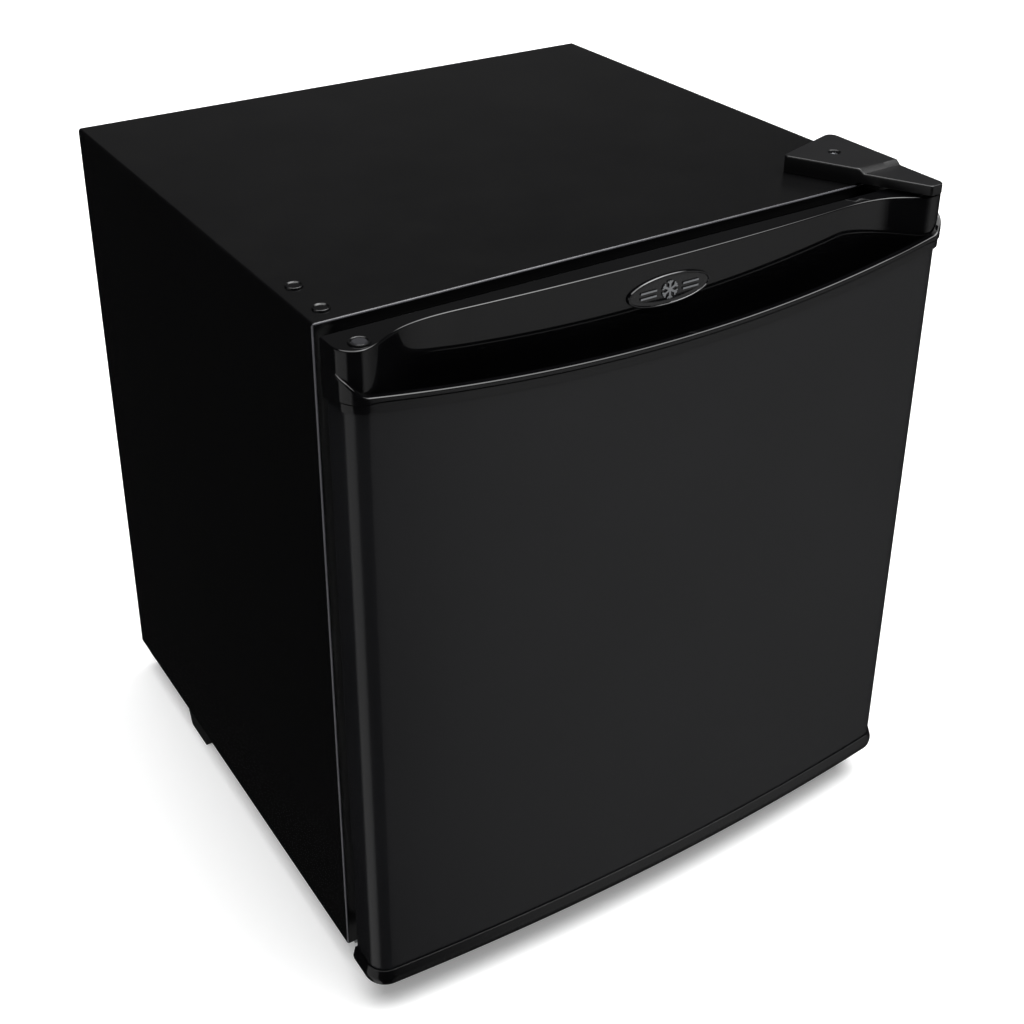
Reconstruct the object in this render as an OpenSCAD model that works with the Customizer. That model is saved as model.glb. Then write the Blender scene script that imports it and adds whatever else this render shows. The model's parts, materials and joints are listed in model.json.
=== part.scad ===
// Compact refrigerator: foamed cabinet, bowed door with a moulded pocket handle, freezer box and
// compressor. Millimetres. X runs to the right, the door faces -Y and Z is up. The origin is on the
// floor, under the middle of the outline.

/* [Cabinet] */
// Width over the painted sides
cab_w = 445; // [400:1:600]
// Depth from the front face to the back edge of the sides
cab_d = 393; // [360:1:560]
// Height of the side panels
cab_h = 468; // [440:1:800]
// Gap between the floor and the side panels
foot_h = 25; // [20:1:40]
// Thickness of the steel sheet
sheet_t = 0.8; // [0.5:0.1:1.5]
// Outside radius of the folds along the top
fold_r = 2.5; // [2:0.5:6]
// Width of the folded front edge that the seal lands on
flange_w = 24; // [20:1:30]
// Width of the folded back and bottom edges
edge_flange = 12; // [8:1:20]

/* [Insulation and liner] */
// Foam wall at the sides
wall_side = 36; // [30:1:50]
// Foam wall at the top
wall_top = 36; // [30:1:50]
// Foam wall at the bottom
wall_bottom = 44; // [40:1:60]
// Foam wall at the back
wall_back = 40; // [32:1:60]
// Thickness of the moulded liners
liner_t = 1.5; // [1:0.1:2.5]
// Radius of the liner's long corners
liner_r = 12; // [6:1:20]
// Width of the ledges that carry the shelf and the tray
ledge_w = 6; // [4:0.5:8]
// Thickness of the plastic frame round the opening
frame_t = 2; // [1.5:0.5:4]

/* [Compressor bay] */
// Height of the bay
bay_h = 150; // [145:1:170]
// Depth of the bay from the back edge
bay_d = 150; // [145:1:170]
// Foam between the bay and the liner
bay_wall = 30; // [25:1:40]
// Diameter of the compressor's can
comp_dia = 116; // [100:1:122]
// Height of the compressor's can
comp_h = 118; // [100:1:122]
// Distance of the compressor to the right of the middle
comp_x = 62; // [30:1:90]

/* [Door] */
// Gap between door and cabinet that the seal fills
seal_gap = 15; // [12:0.5:18]
// Thickness of the door at the middle of its bow
door_t = 42; // [38:1:60]
// How far the front bows out between its corners
bow_sag = 9.7; // [6:0.1:14]
// How far the door's end caps stand out past each side of the cabinet
cap_over = 3.5; // [2:0.5:6]
// Radius of the door's upright corners
corner_r = 16; // [12:1:20]
// How far the painted skin sits inside the end caps
skin_in = 3; // [2:0.5:4]
// Height of the bottom cap
foot_cap_h = 13; // [10:1:20]
// Wall of the moulded caps
cap_t = 2.5; // [2:0.5:3]
// How far the door opens, in degrees
door_open = 115; // [90:1:120]

/* [Handle pocket] */
// Distance from the door's top down to the middle of the lip
lip_drop = 40.8; // [36:0.1:50]
// How much higher the lip is at its ends
lip_rise = 11.3; // [6:0.1:16]
// Height of the trim below the lip
trim_h = 9.7; // [6:0.1:12]
// Distance of the pocket's wall behind the front
pocket_d = 26; // [22:0.5:28]
// How far the pocket reaches below the middle of the lip
pocket_h = 20; // [12:1:26]
// Thickness of the lip
lip_t = 5.5; // [5:0.5:8]
// Length of the badge
badge_w = 63; // [40:1:80]
// Height of the badge
badge_h = 21; // [12:1:22]

/* [Hinges and feet] */
// Diameter of the hinge pins
pin_d = 8; // [6:0.5:10]
// Distance of the hinge axis in from the side of the end caps
axis_in = 15.5; // [14:0.5:20]
// Distance of the hinge axis in front of the cabinet
axis_front = 33; // [28:1:34]
// Thickness of the hinge brackets
bracket_t = 3; // [2:0.5:3]
// Distance of the first bracket screw behind the front face
screw_y1 = 15.6; // [12:0.1:18]
// Distance between the two bracket screws
screw_pitch = 35; // [28:1:45]
// Height of the hinge cover above the cabinet
cover_h = 12; // [11:0.5:16]
// Clearance of a pin in its bush, on the radius
run_gap = 0.05; // [0.02:0.01:0.1]
// Diameter of the levelling feet
foot_d = 30; // [24:1:36]
// How far the levelling feet screw out
foot_travel = 8; // [4:1:10]

/* [Inside] */
// Outside height of the freezer box
fz_h = 90; // [70:1:110]
// Space between the freezer box and the top of the liner
fz_top = 7; // [6:0.5:12]
// Space to the left of the freezer box
fz_left = 13; // [11:1:30]
// Width kept free to the right of the freezer box for the control
fz_right = 67; // [65:1:90]
// Distance of the freezer's front frame behind the cabinet's front
fz_front = 45; // [44:1:60]
// Wall of the freezer box
fz_t = 1.5; // [1:0.1:2]
// Height of the drip tray
tray_h = 19; // [14:1:24]
// Distance of the tray and shelf ledges in front of the back wall
ledge_back = 10; // [6:1:30]
// Diameter of the shelf's frame wire
shelf_wire = 5; // [4:0.5:6]
// Number of bars in the shelf
shelf_bars = 15; // [9:2:21]
// Diameter of the control knob
knob_d = 36; // [28:1:40]
// Depth of the door racks
rack_d = 71; // [60:1:72]
// Height of the racks
rack_h = 60; // [40:1:64]
// How far a rack lifts off its lugs
rack_lift = 12; // [8:1:14]

/* [Back] */
// How far the condenser stands out behind the back edge
cond_out = 21; // [16:1:30]
// Diameter of the condenser tube
cond_d = 5; // [4:0.5:6]
// Number of runs in the condenser tube
cond_runs = 9; // [5:2:11]
// Number of wires on each face of the condenser
cond_wires = 30; // [12:2:40]
// Diameter of the mains cord that the gland takes
cord_d = 8; // [6:0.5:9]

/* [Hidden] */
$fn = 96;
bit = 0.01;                 // overshoot of a cut past a face
slip = 0.3;                 // clearance of loose pieces
far = 2000;                 // longer than the model
bow_fn = 1440;              // fineness of the wide arcs

// Cabinet, measured from the front face and the bottom edge of the side panels
hw = cab_w / 2;
cab_y = (seal_gap + door_t - cab_d - cond_out) / 2;   // front face in the part's frame
inner_hw = hw - sheet_t;
liner_x = hw - wall_side;                             // outside of the liner
room_x = liner_x - liner_t;                           // inside of the liner
room_z0 = wall_bottom + liner_t;
room_z1 = cab_h - wall_top - liner_t;
room_y = cab_d - wall_back - liner_t;
hump_y = cab_d - bay_d - bay_wall - liner_t;          // step over the compressor bay
hump_z = bay_h + bay_wall + liner_t;
rail_h = wall_bottom - 14;                            // front face below the frame
foam_y0 = frame_t;
foam_y1 = cab_d - 2 * sheet_t;
foam_z0 = 2 * sheet_t + 1.2;
bay_y = cab_d - bay_d;

// Hinge line and its hardware
axis_x = hw + cap_over - axis_in;
axis_y = -axis_front;
screw_x = hw - 13.5;
screw_y = [screw_y1, screw_y1 + screw_pitch];
joggle = 2.5;                                         // step of the brackets past the door
screw_d = 5;
arm_r = 6;                                            // half width of the hinge arms
bush_r = pin_d / 2 + 2.4;
bush_seat = 0.1;                                      // clearance of the bushes in the caps
bush_h = 22;
foot_x = hw - 34;
foot_y = 20;
stud_d = 8;
stud_h = 16;                                          // how far a stud reaches into the cabinet
plate_y = 76;                                         // length of the plates below the corners
low_screw_x = screw_x - 4;
low_screw_y = [foot_y + foot_d / 2 + 9, foot_y + foot_d / 2 + 31];
skid_w = 26;
cover_screw = [hw - 31, 33];
plug_d = 7;                                           // spare holes in the top

// Door
door_hw = hw + cap_over;
door_x = door_hw - corner_r;                          // centres of the corner rounds
door_front = -seal_gap - door_t;
bow_r = (door_x * door_x + bow_sag * bow_sag) / (2 * bow_sag);
lap = 0.2;                                            // arcs cross a little, so edges stay clean
corner_y = door_front + bow_sag + corner_r - lap;
lip_half = hw - 22.5;
lip_r = (lip_half * lip_half + lip_rise * lip_rise) / (2 * lip_rise);
lip_z = cab_h - lip_drop;
lip_end_z = lip_z + lip_rise;
lip_side_z = lip_end_z + 14;                          // lip where it runs out on the door's side
trim_z = lip_z - trim_h;
pocket_z = lip_z - pocket_h;
wall_r = bow_r - pocket_d;                            // pocket wall, concentric with the front
pocket_x = hw - 64.5;                                 // where the pocket wall turns to the posts
flare_r = 80;                                         // radius of that turn
wall_end_y = door_front + bow_r - sqrt(wall_r * wall_r - pocket_x * pocket_x);
post_y = door_front + 15;                             // front of the corner posts
skin_t = 1;
badge_z = (lip_z + cab_h) / 2;
badge_y = door_front + pocket_d;

// Inside of the door
base_x = hw - 9.5;                                    // edge of the door liner
base_z0 = 11;
base_z1 = cab_h - 11;
plug_gap = 7;                                         // door liner to the cabinet's opening
dyke_x = room_x - plug_gap;
dyke_z0 = room_z0 + plug_gap;
dyke_z1 = room_z1 - plug_gap;
dyke_w = 14;
dyke_y = 18;                                          // how far the dykes reach in
base_y = -seal_gap + liner_t;
seal_x = hw - 13.5;
seal_w = 17;
rack_t = 2.2;
rack_x = dyke_x - dyke_w - 0.5;
lug = 8;
shelf_z = hump_z + 6.5;                               // top of the shelf ledges
rack_z = [dyke_z0 + dyke_w + 7, shelf_z + 14];        // lugs of the lower and upper rack

// Freezer, tray and control
fz_x0 = -room_x + fz_left;
fz_x1 = room_x - fz_right;
fz_z1 = room_z1 - fz_top;
fz_z0 = fz_z1 - fz_h;
fz_frame_t = 12;
fz_y0 = fz_front + fz_frame_t;
fz_y1 = room_y - 50;
fz_rim = 5;                                           // frame past the box, all round
hang_x = [fz_x0 + 40, fz_x1 - 40];
hang_y = [fz_y0 + 45, fz_y1 - 45];
flap_t = 4;
flap_pin_r = 2;
flap_y = fz_front + 4;
flap_z = fz_z0 + 4;
tray_z = fz_z0 - fz_rim - 8;                          // underside of the tray's rim
tray_t = 2;
tray_y0 = fz_front + 13;
tray_y1 = room_y - ledge_back;
shelf_y0 = base_y + rack_d + 10;
bar_d = 2.6;
ctl_w = 50;
ctl_h = 68;
ctl_x = room_x - ctl_w / 2;
ctl_z = (fz_z0 + fz_z1) / 2 + 4;
ctl_y0 = fz_front + 17;
ctl_y1 = ctl_y0 + 78;
shaft_r = 3;

// Compressor and pipes
deck_t = 1.5;                                         // sheet under the compressor
deck_z = sheet_t + deck_t;
comp_y = cab_d - bay_d / 2;
comp_z = deck_z + 17;
foot_dx = 62;
foot_dy = 38;
comp_feet = [for (x = [-1, 1], y = [-1, 1]) [comp_x + x * foot_dx, comp_y + y * foot_dy]];
wire_d = 1.8;
weld = 0.1;                                           // wires sunk into the tube
cond_x = hw - 34;
cond_y = cab_d + cond_out - cond_d / 2 - wire_d + weld;
cond_z0 = bay_h + 22;
cond_z1 = cab_h - 22;
cond_pitch = (cond_z1 - cond_z0) / (cond_runs - 1);
cond_end = cond_x - cond_pitch / 2;                   // where the straight runs stop
down_x = cond_end + 24;                               // pipes up beside the condenser
clip_x = cond_end - 14;
clip_z = [cond_z0 + 1.5 * cond_pitch, cond_z1 - 1.5 * cond_pitch];
pipe_r = 3.2;
pipe_bend = 12;
cap_r = 1.2;
cap_bend = 8;
cond_bend = 6;
riser_y = cab_d - wall_back / 2;                      // pipes inside the back wall
riser_x = -40;
pipe_z = (fz_z0 + fz_z1) / 2;
port_z = comp_z + 78;
port_x = comp_x - comp_dia / 2;
suction_path = [[port_x - 0.2, comp_y, port_z], [riser_x, comp_y, port_z], [riser_x, riser_y, port_z],
    [riser_x, riser_y, pipe_z], [riser_x, fz_y1 - 0.2, pipe_z]];
drier_r = 8;
drier_p = [-110, comp_y, 62];
cap_x = riser_x - 14;
cap_z = drier_p[2] + 72;
capillary_path = [drier_p + [0, 0, 49.5], [drier_p[0], comp_y, cap_z], [cap_x, comp_y, cap_z],
    [cap_x, riser_y, cap_z], [cap_x, riser_y, pipe_z + 14], [cap_x, fz_y1 - 0.2, pipe_z + 14]];
lip_h = 38;                                           // turned-up back edge of the deck
gland_x = -hw + 62;
gland_z = 22;
gland_t = 6;

// ---- Shapes used by several pieces ----
module at_cab() { translate([0, cab_y, foot_h]) children(); }

module box(x0, x1, y0, y1, z0, z1) { translate([x0, y0, z0]) cube([x1 - x0, y1 - y0, z1 - z0]); }

module sides(x) {           // a piece and its mirror image
    translate([x, 0, 0]) children();
    translate([-x, 0, 0]) mirror([1, 0, 0]) children();
}

module rrect(x0, x1, y0, y1, r) {
    translate([x0 + r, y0]) square([x1 - x0 - 2 * r, y1 - y0]);
    translate([x0, y0 + r]) square([x1 - x0, y1 - y0 - 2 * r]);
    for (x = [x0 + r, x1 - r], y = [y0 + r, y1 - r]) translate([x, y]) circle(r);
}

module along_y(y0, y1) {    // extrudes an outline drawn in X and Z from y0 to y1
    translate([0, y1, 0]) rotate([90, 0, 0]) linear_extrude(y1 - y0) children();
}

module rod(p, q, r) {       // round bar between two points
    v = q - p;
    len = norm(v);
    translate(p) rotate([0, acos(v[2] / len), atan2(v[1], v[0])]) cylinder(h = len, r = r);
}

function unit(v) = v / norm(v);

module pipe(points, r, bend) {      // round bars joined by bends of one radius
    n = len(points);
    dirs = [for (i = [0 : n - 2]) unit(points[i + 1] - points[i])];
    turns = [for (i = [1 : n - 2]) acos(dirs[i - 1] * dirs[i])];
    trims = [for (i = [0 : n - 1]) i == 0 || i == n - 1 ? 0 : bend * tan(turns[i - 1] / 2)];
    for (i = [0 : n - 2]) rod(points[i] + dirs[i] * trims[i], points[i + 1] - dirs[i] * trims[i + 1], r);
    for (i = [1 : n - 2]) {
        u = dirs[i - 1];
        m = unit(dirs[i] - u * (u * dirs[i]));
        w = cross(-m, u);
        c = points[i] - u * trims[i] + m * bend;
        multmatrix([[-m[0], u[0], w[0], c[0]], [-m[1], u[1], w[1], c[1]], [-m[2], u[2], w[2], c[2]],
            [0, 0, 0, 1]]) rotate_extrude(angle = turns[i - 1]) translate([bend, 0]) circle(r);
    }
}

module screw(d, length, head_d, head_h) {   // head upwards, shank down from z = 0
    translate([0, 0, -length]) cylinder(h = length + bit, d = d);
    difference() {
        cylinder(h = head_h, d = head_d);
        for (a = [0, 90]) rotate(a)
            translate([-head_d * 0.3, -head_h * 0.15, head_h * 0.5]) cube([head_d * 0.6, head_h * 0.3, head_h]);
    }
}

module hex_screw(d, length, head_d, head_h) {
    translate([0, 0, -length]) cylinder(h = length + bit, d = d);
    cylinder(h = 1, d = head_d + 3);
    cylinder(h = head_h, d = head_d, $fn = 6);
}

// ---- Cabinet ----
module room(grow) {         // space inside the liner, grown outwards
    difference() {
        along_y(-1, room_y + grow)
            rrect(-room_x - grow, room_x + grow, room_z0 - grow, room_z1 + grow, liner_r + grow);
        box(-far, far, hump_y + grow, far, -far, hump_z - grow);
    }
}

module shell_outline(inset) {
    rrect(-hw + inset, hw - inset, -4 * fold_r, cab_h - inset, fold_r - inset);
}

module top_holes(d, depth) {    // both pairs of hinge screw holes
    for (x = [-screw_x, screw_x], y = screw_y)
        translate([x, y, cab_h - depth]) cylinder(h = depth + 1, d = d);
    translate([cover_screw[0], cover_screw[1], cab_h - depth]) cylinder(h = depth + 1, d = d);
}

module cabinet_shell() {
    color("#1b1b1d") at_cab() difference() {
        union() {
            along_y(0, cab_d) difference() {
                shell_outline(0);
                shell_outline(sheet_t);
                translate([-far, -far]) square([2 * far, far]);
            }
            along_y(0, sheet_t) difference() {
                shell_outline(sheet_t / 2);
                translate([-hw + flange_w, -far]) square([cab_w - 2 * flange_w, far + cab_h - flange_w]);
                translate([-far, -far]) square([2 * far, far]);
            }
            along_y(cab_d - sheet_t, cab_d) difference() {
                shell_outline(sheet_t / 2);
                translate([-hw + edge_flange, -far])
                    square([cab_w - 2 * edge_flange, far + cab_h - edge_flange]);
                translate([-far, -far]) square([2 * far, far]);
            }
            sides(hw - edge_flange) box(0, edge_flange - sheet_t / 2, 0, cab_d, 0, sheet_t);
        }
        top_holes(plug_d, 2 * fold_r);
    }
}

module back_panel() {
    color("#202022") at_cab()
        box(-inner_hw + slip, inner_hw - slip, foam_y1, cab_d - sheet_t, bay_h, cab_h - fold_r);
}

module bracket_holes(d, z0, z1) {   // screws that hold the brackets below the cabinet
    for (x = [-1, 1], y = low_screw_y) translate([x * low_screw_x, y, z0]) cylinder(h = z1 - z0, d = d);
}

module foot_holes(d, z0, z1) {
    for (x = [-1, 1]) translate([x * foot_x, foot_y, z0]) cylinder(h = z1 - z0, d = d);
}

module bottom_panel() {
    color("#26262a") at_cab() difference() {
        box(-inner_hw + slip, inner_hw - slip, sheet_t + slip, bay_y - slip, sheet_t, 2 * sheet_t);
        bracket_holes(screw_d, -1, 5);
        foot_holes(stud_d + 1, -1, 5);
    }
}

module front_crossmember() {
    color("#1b1b1d") at_cab() difference() {
        union() {
            box(-hw + flange_w + slip, hw - flange_w - slip, 0, 1.2, 2 * sheet_t, rail_h);
            box(-inner_hw + slip, inner_hw - slip, 1.2 - bit, plate_y + 6, 2 * sheet_t, foam_z0);
        }
        bracket_holes(screw_d, -1, 5);
        foot_holes(stud_d + 1, -1, 5);
    }
}

module bay_panel() {
    color("#2a2a2c") at_cab() difference() {
        union() {
            box(-inner_hw + slip, inner_hw - slip, bay_y - slip, bay_y - slip + sheet_t, sheet_t, bay_h);
            box(-inner_hw + slip, inner_hw - slip, bay_y - slip, foam_y1, bay_h - sheet_t, bay_h);
        }
        pipe_channels(0.5);
    }
}

module compressor_tray() {
    color("#2a2a2c") at_cab() difference() {
        union() {
            box(-inner_hw + slip, inner_hw - slip, bay_y + 2, cab_d - 2, sheet_t, deck_z);
            box(-inner_hw + edge_flange, inner_hw - edge_flange, cab_d - 2 - sheet_t, cab_d - 2,
                deck_z - bit, lip_h);
        }
        for (p = comp_feet) translate([p[0], p[1], -1]) cylinder(h = 10, d = 6);
        translate([gland_x, cab_d + 5, gland_z]) rotate([90, 0, 0]) cylinder(h = 20, d = cord_d + 5);
    }
}

module pipe_channels(grow) {    // way of the pipes up the back wall and into the freezer space
    pipe(suction_path, pipe_r + grow, pipe_bend);
    pipe(capillary_path, cap_r + grow, cap_bend);
}

module insulation_foam() {
    color("#e8d9a0") at_cab() difference() {
        along_y(foam_y0, foam_y1) intersection() {
            shell_outline(sheet_t);
            translate([-far, foam_z0]) square([2 * far, far]);
        }
        room(liner_t);
        box(-far, far, bay_y - slip, far, -far, bay_h);
        top_holes(12, 24);
        bracket_holes(9, 0, 16);
        foot_holes(stud_d + 6, 0, stud_h + 8);
        pipe_channels(0.5);
    }
}

module ledges(z, y0) {      // pair of ledges whose upper faces are at z
    for (s = [0, 1]) mirror([s, 0, 0])
        box(room_x - ledge_w, room_x + liner_t / 2, y0, room_y + liner_t / 2, z - 4, z);
}

module inner_liner() {
    color("#f2f2ee") at_cab() difference() {
        union() {
            difference() {
                room(liner_t);
                room(0);
                box(-far, far, -far, foam_y0, -far, far);
            }
            ledges(shelf_z, shelf_y0 - 4);
            ledges(tray_z, tray_y0 - 6);
        }
        pipe_channels(0.5);
    }
}

module front_frame() {
    color("#1a1a1a") at_cab() along_y(0, frame_t) difference() {
        translate([-hw + flange_w + slip, rail_h + slip])
            square([cab_w - 2 * flange_w - 2 * slip, cab_h - flange_w - rail_h - 2 * slip]);
        rrect(-room_x, room_x, room_z0, room_z1, liner_r);
    }
}

// ---- Freezer compartment ----
module evaporator_box() {
    color("#c9cdd0") at_cab() difference() {
        union() {
            difference() {
                along_y(fz_y0, fz_y1) rrect(fz_x0, fz_x1, fz_z0, fz_z1, 8);
                along_y(fz_y0 - 1, fz_y1 - fz_t) rrect(fz_x0 + fz_t, fz_x1 - fz_t, fz_z0 + fz_t, fz_z1 - fz_t, 6.5);
            }
            for (i = [1 : 5])   // raised coolant channels
                along_y(fz_y0 + 25 + (i - 1) * 40, fz_y0 + 33 + (i - 1) * 40)
                    translate([fz_x0 + 20, fz_z0 - 1.5]) square([fz_x1 - fz_x0 - 40, 2]);
        }
        for (x = hang_x, y = hang_y) translate([x, y, fz_z1 - 5]) cylinder(h = 10, d = 4.2);
        pipe_channels(0.1);
    }
}

module evaporator_hangers() {
    color("#f2f2ee") at_cab() for (x = hang_x, y = hang_y) difference() {
        box(x - 9, x + 9, y - 6, y + 6, fz_z1, room_z1);
        translate([x, y, fz_z1 - 1]) cylinder(h = fz_top + 2, d = 4.2);
    }
}

module freezer_frame() {
    o = fz_rim;
    color("#f4f4f0") at_cab() difference() {
        along_y(fz_front, fz_y0) difference() {
            rrect(fz_x0 - o, fz_x1 + o, fz_z0 - o, fz_z1 + o, 6);
            rrect(fz_x0 + 5, fz_x1 - 5, fz_z0 + 5, fz_z1 - 5, 4);
        }
        box(fz_x0 + 1, fz_x1 - 1, fz_front - 1, fz_front + 9, fz_z0 - far, fz_z1 - 1);
        translate([fz_x0 - 3, flap_y, flap_z]) rotate([0, 90, 0])
            cylinder(h = fz_x1 - fz_x0 + 6, r = flap_pin_r + run_gap);
    }
}

module freezer_flap() {
    x0 = fz_x0 + 1 + slip;
    x1 = fz_x1 - 1 - slip;
    color("#f4f4f0") at_cab() {
        difference() {
            union() {
                box(x0, x1, flap_y - flap_t / 2, flap_y + flap_t / 2, flap_z, fz_z1 - 2);
                translate([x0, flap_y, flap_z]) rotate([0, 90, 0]) cylinder(h = x1 - x0, r = 3.5);
                box(x0, x1, flap_y - flap_t / 2, flap_y + flap_t / 2 + 2, fz_z1 - 5, fz_z1 - 2);
            }
            translate([(x0 + x1) / 2, flap_y - flap_t / 2, fz_z1 + 6]) rotate([90, 0, 0])
                cylinder(h = 3, r = 26, center = true);
        }
        for (x = [x0 - 3, x1 - 1]) translate([x, flap_y, flap_z]) rotate([0, 90, 0])
            cylinder(h = 4, r = flap_pin_r);
        box(x0 + 60, x1 - 60, flap_y - flap_t / 2 - 6, flap_y - flap_t / 2 + bit, fz_z1 - 30, fz_z1 - 27);
    }
}

module drip_tray() {
    x = room_x - ledge_w - 1.5;
    color("#dfe6ea") at_cab() difference() {
        union() {
            box(-x, x, tray_y0, tray_y1, tray_z - tray_h, tray_z + bit);
            box(-room_x + 1, room_x - 1, tray_y0 - 3, tray_y1, tray_z, tray_z + 2);
            box(-x, x, tray_y0 - 3, tray_y0 + bit, tray_z - 8, tray_z + bit);
        }
        box(-x + tray_t, x - tray_t, tray_y0 + tray_t, tray_y1 - tray_t, tray_z - tray_h + tray_t, far);
    }
}

module wire_shelf() {
    x = room_x - 3.5;
    r = shelf_wire / 2;
    y0 = shelf_y0 + r;
    y1 = tray_y1 - r;
    z = shelf_z + r;
    c = 14;
    color("#eeeeec") at_cab() {
        for (s = [-1, 1]) {
            rod([s * x, y0 + c, z], [s * x, y1 - c, z], r);
            translate([s * (x - c), y0 + c, z]) rotate([0, 0, s > 0 ? -90 : 180])
                rotate_extrude(angle = 90) translate([c, 0]) circle(r);
            translate([s * (x - c), y1 - c, z]) rotate([0, 0, s > 0 ? 0 : 90])
                rotate_extrude(angle = 90) translate([c, 0]) circle(r);
        }
        for (y = [y0, (y0 + y1) / 2, y1]) {
            e = y == y0 || y == y1 ? x - c : x;
            rod([-e, y, z], [e, y, z], r);
        }
        for (i = [1 : shelf_bars]) {
            bx = -x + 2 * x * i / (shelf_bars + 1);
            rod([bx, y0 - 1, z + r + bar_d / 2 - 0.8], [bx, y1 + 1, z + r + bar_d / 2 - 0.8], bar_d / 2);
        }
    }
}

// ---- Temperature control ----
module thermostat_housing() {
    color("#f2f2ee") at_cab() difference() {
        along_y(ctl_y0, ctl_y1)
            rrect(ctl_x - ctl_w / 2, ctl_x + ctl_w / 2, ctl_z - ctl_h / 2, ctl_z + ctl_h / 2, 6);
        along_y(ctl_y0 + 2, ctl_y1 + 1)
            rrect(ctl_x - ctl_w / 2 + 2, ctl_x + ctl_w / 2 - 2, ctl_z - ctl_h / 2 + 2, ctl_z + ctl_h / 2 - 2, 4);
        translate([ctl_x, ctl_y0 + 5, ctl_z]) rotate([90, 0, 0]) cylinder(h = 10, d = 12.4);
    }
}

module thermostat() {       // switch body with its threaded neck, sensing tube and bulb
    y = ctl_y0 + 6;
    tip = [fz_x1 + 3.4, ctl_y1 + 40, ctl_z - 12];
    color("#b9b9b5") at_cab() difference() {
        union() {
            box(ctl_x - 18, ctl_x + 18, y, y + 26, ctl_z - 20, ctl_z + 20);
            translate([ctl_x, y + bit, ctl_z]) rotate([90, 0, 0]) cylinder(h = 7, d = 12);
            pipe([[ctl_x, y + 25, ctl_z], [ctl_x, ctl_y1 + 14, ctl_z], [tip[0], ctl_y1 + 14, ctl_z],
                [tip[0], ctl_y1 + 14, tip[2]], [tip[0], tip[1] + 1, tip[2]]], 1, 4);
            rod(tip, tip + [0, 55, 0], 3);
        }
        translate([ctl_x, y + 16, ctl_z]) rotate([90, 0, 0]) cylinder(h = 40, r = shaft_r + run_gap);
    }
}

module thermostat_shaft() {
    color("#d0d0d0") at_cab() translate([ctl_x, ctl_y0 + 20, ctl_z]) rotate([90, 0, 0])
        cylinder(h = 27, r = shaft_r);
}

module thermostat_knob() {
    color("#e9e9e6") at_cab() translate([ctl_x, ctl_y0 - 1.5, ctl_z]) rotate([90, 0, 0]) difference() {
        union() {
            cylinder(h = 4, d = knob_d);
            cylinder(h = 14, d = knob_d - 12);
            translate([-2.5, -knob_d / 2 + 3, 0]) cube([5, knob_d - 6, 16]);
        }
        translate([0, 0, -1]) cylinder(h = 6.5, r = shaft_r);
        translate([-0.8, knob_d / 2 - 9, 15.2]) cube([1.6, 7, 2]);
    }
}

// ---- Compressor and refrigerant circuit ----
module compressor() {
    r = comp_dia / 2;
    color("#161616") at_cab() difference() {
        union() {
            translate([comp_x, comp_y, comp_z]) {
                translate([0, 0, r * 0.35]) cylinder(h = comp_h - r * 0.8, r = r);
                translate([0, 0, comp_h * 0.52]) cylinder(h = 5, r = r + 2.5);
                for (e = [[r * 0.35, 180], [comp_h - r * 0.45, 0]]) translate([0, 0, e[0]]) rotate([e[1], 0, 0])
                    intersection() {
                        rotate_extrude() {
                            translate([0, -bit]) square([r * 0.55, r * 0.45]);
                            intersection() {
                                translate([r * 0.55, 0]) circle(r * 0.45);
                                translate([r * 0.55 - bit, -bit]) square(r);
                            }
                        }
                        translate([0, 0, -bit]) cylinder(h = e[1] > 0 ? r * 0.35 : r * 0.45, r = r);
                    }
            }
            for (s = [-1, 1]) box(comp_x - foot_dx - 12, comp_x + foot_dx + 12,
                comp_y + s * foot_dy - 11, comp_y + s * foot_dy + 11, comp_z - 3, comp_z + 3);
            box(comp_x - 30, comp_x + 30, comp_y - foot_dy, comp_y + foot_dy, comp_z - 3, comp_z + 3);
        }
        for (p = comp_feet) translate([p[0], p[1], 0]) cylinder(h = 60, d = 12);
    }
}

module compressor_grommets() {
    color("#0d0d0d") at_cab() for (p = comp_feet) translate([p[0], p[1], deck_z]) difference() {
        union() {
            cylinder(h = comp_z - 3 - deck_z, d = 20);
            cylinder(h = comp_z + 5 - deck_z, d = 11.4);
            translate([0, 0, comp_z + 3.2 - deck_z]) cylinder(h = 3, d = 16);
        }
        translate([0, 0, -1]) cylinder(h = 60, d = 6.4);
    }
}

module compressor_bolts() {
    color("#c8c8c8") at_cab() for (p = comp_feet) translate([p[0], p[1], 0]) {
        translate([0, 0, comp_z + 6.5]) cylinder(h = 1.5, d = 15);
        translate([0, 0, comp_z + 8 - bit]) cylinder(h = 5, d = 10, $fn = 6);
        translate([0, 0, sheet_t]) cylinder(h = comp_z + 16 - sheet_t, d = 5.6);
    }
}

module start_relay_cover() {
    x = comp_x + comp_dia / 2 + 4;
    color("#141414") at_cab() difference() {
        box(x, x + 26, comp_y - 24, comp_y + 24, comp_z + 22, comp_z + 82);
        box(x - 1, x + 24, comp_y - 22, comp_y + 22, comp_z + 24, comp_z + 80);
    }
}

module suction_line() { color("#b06a3b") at_cab() pipe(suction_path, pipe_r, pipe_bend); }

module capillary_tube() { color("#b06a3b") at_cab() pipe(capillary_path, cap_r, cap_bend); }

module filter_drier() {
    color("#b87442") at_cab() translate(drier_p) {
        cylinder(h = 8, r1 = 3, r2 = drier_r);
        translate([0, 0, 8 - bit]) cylinder(h = 36, r = drier_r);
        translate([0, 0, 44 - 2 * bit]) cylinder(h = 6, r1 = drier_r, r2 = 2);
    }
}

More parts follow.
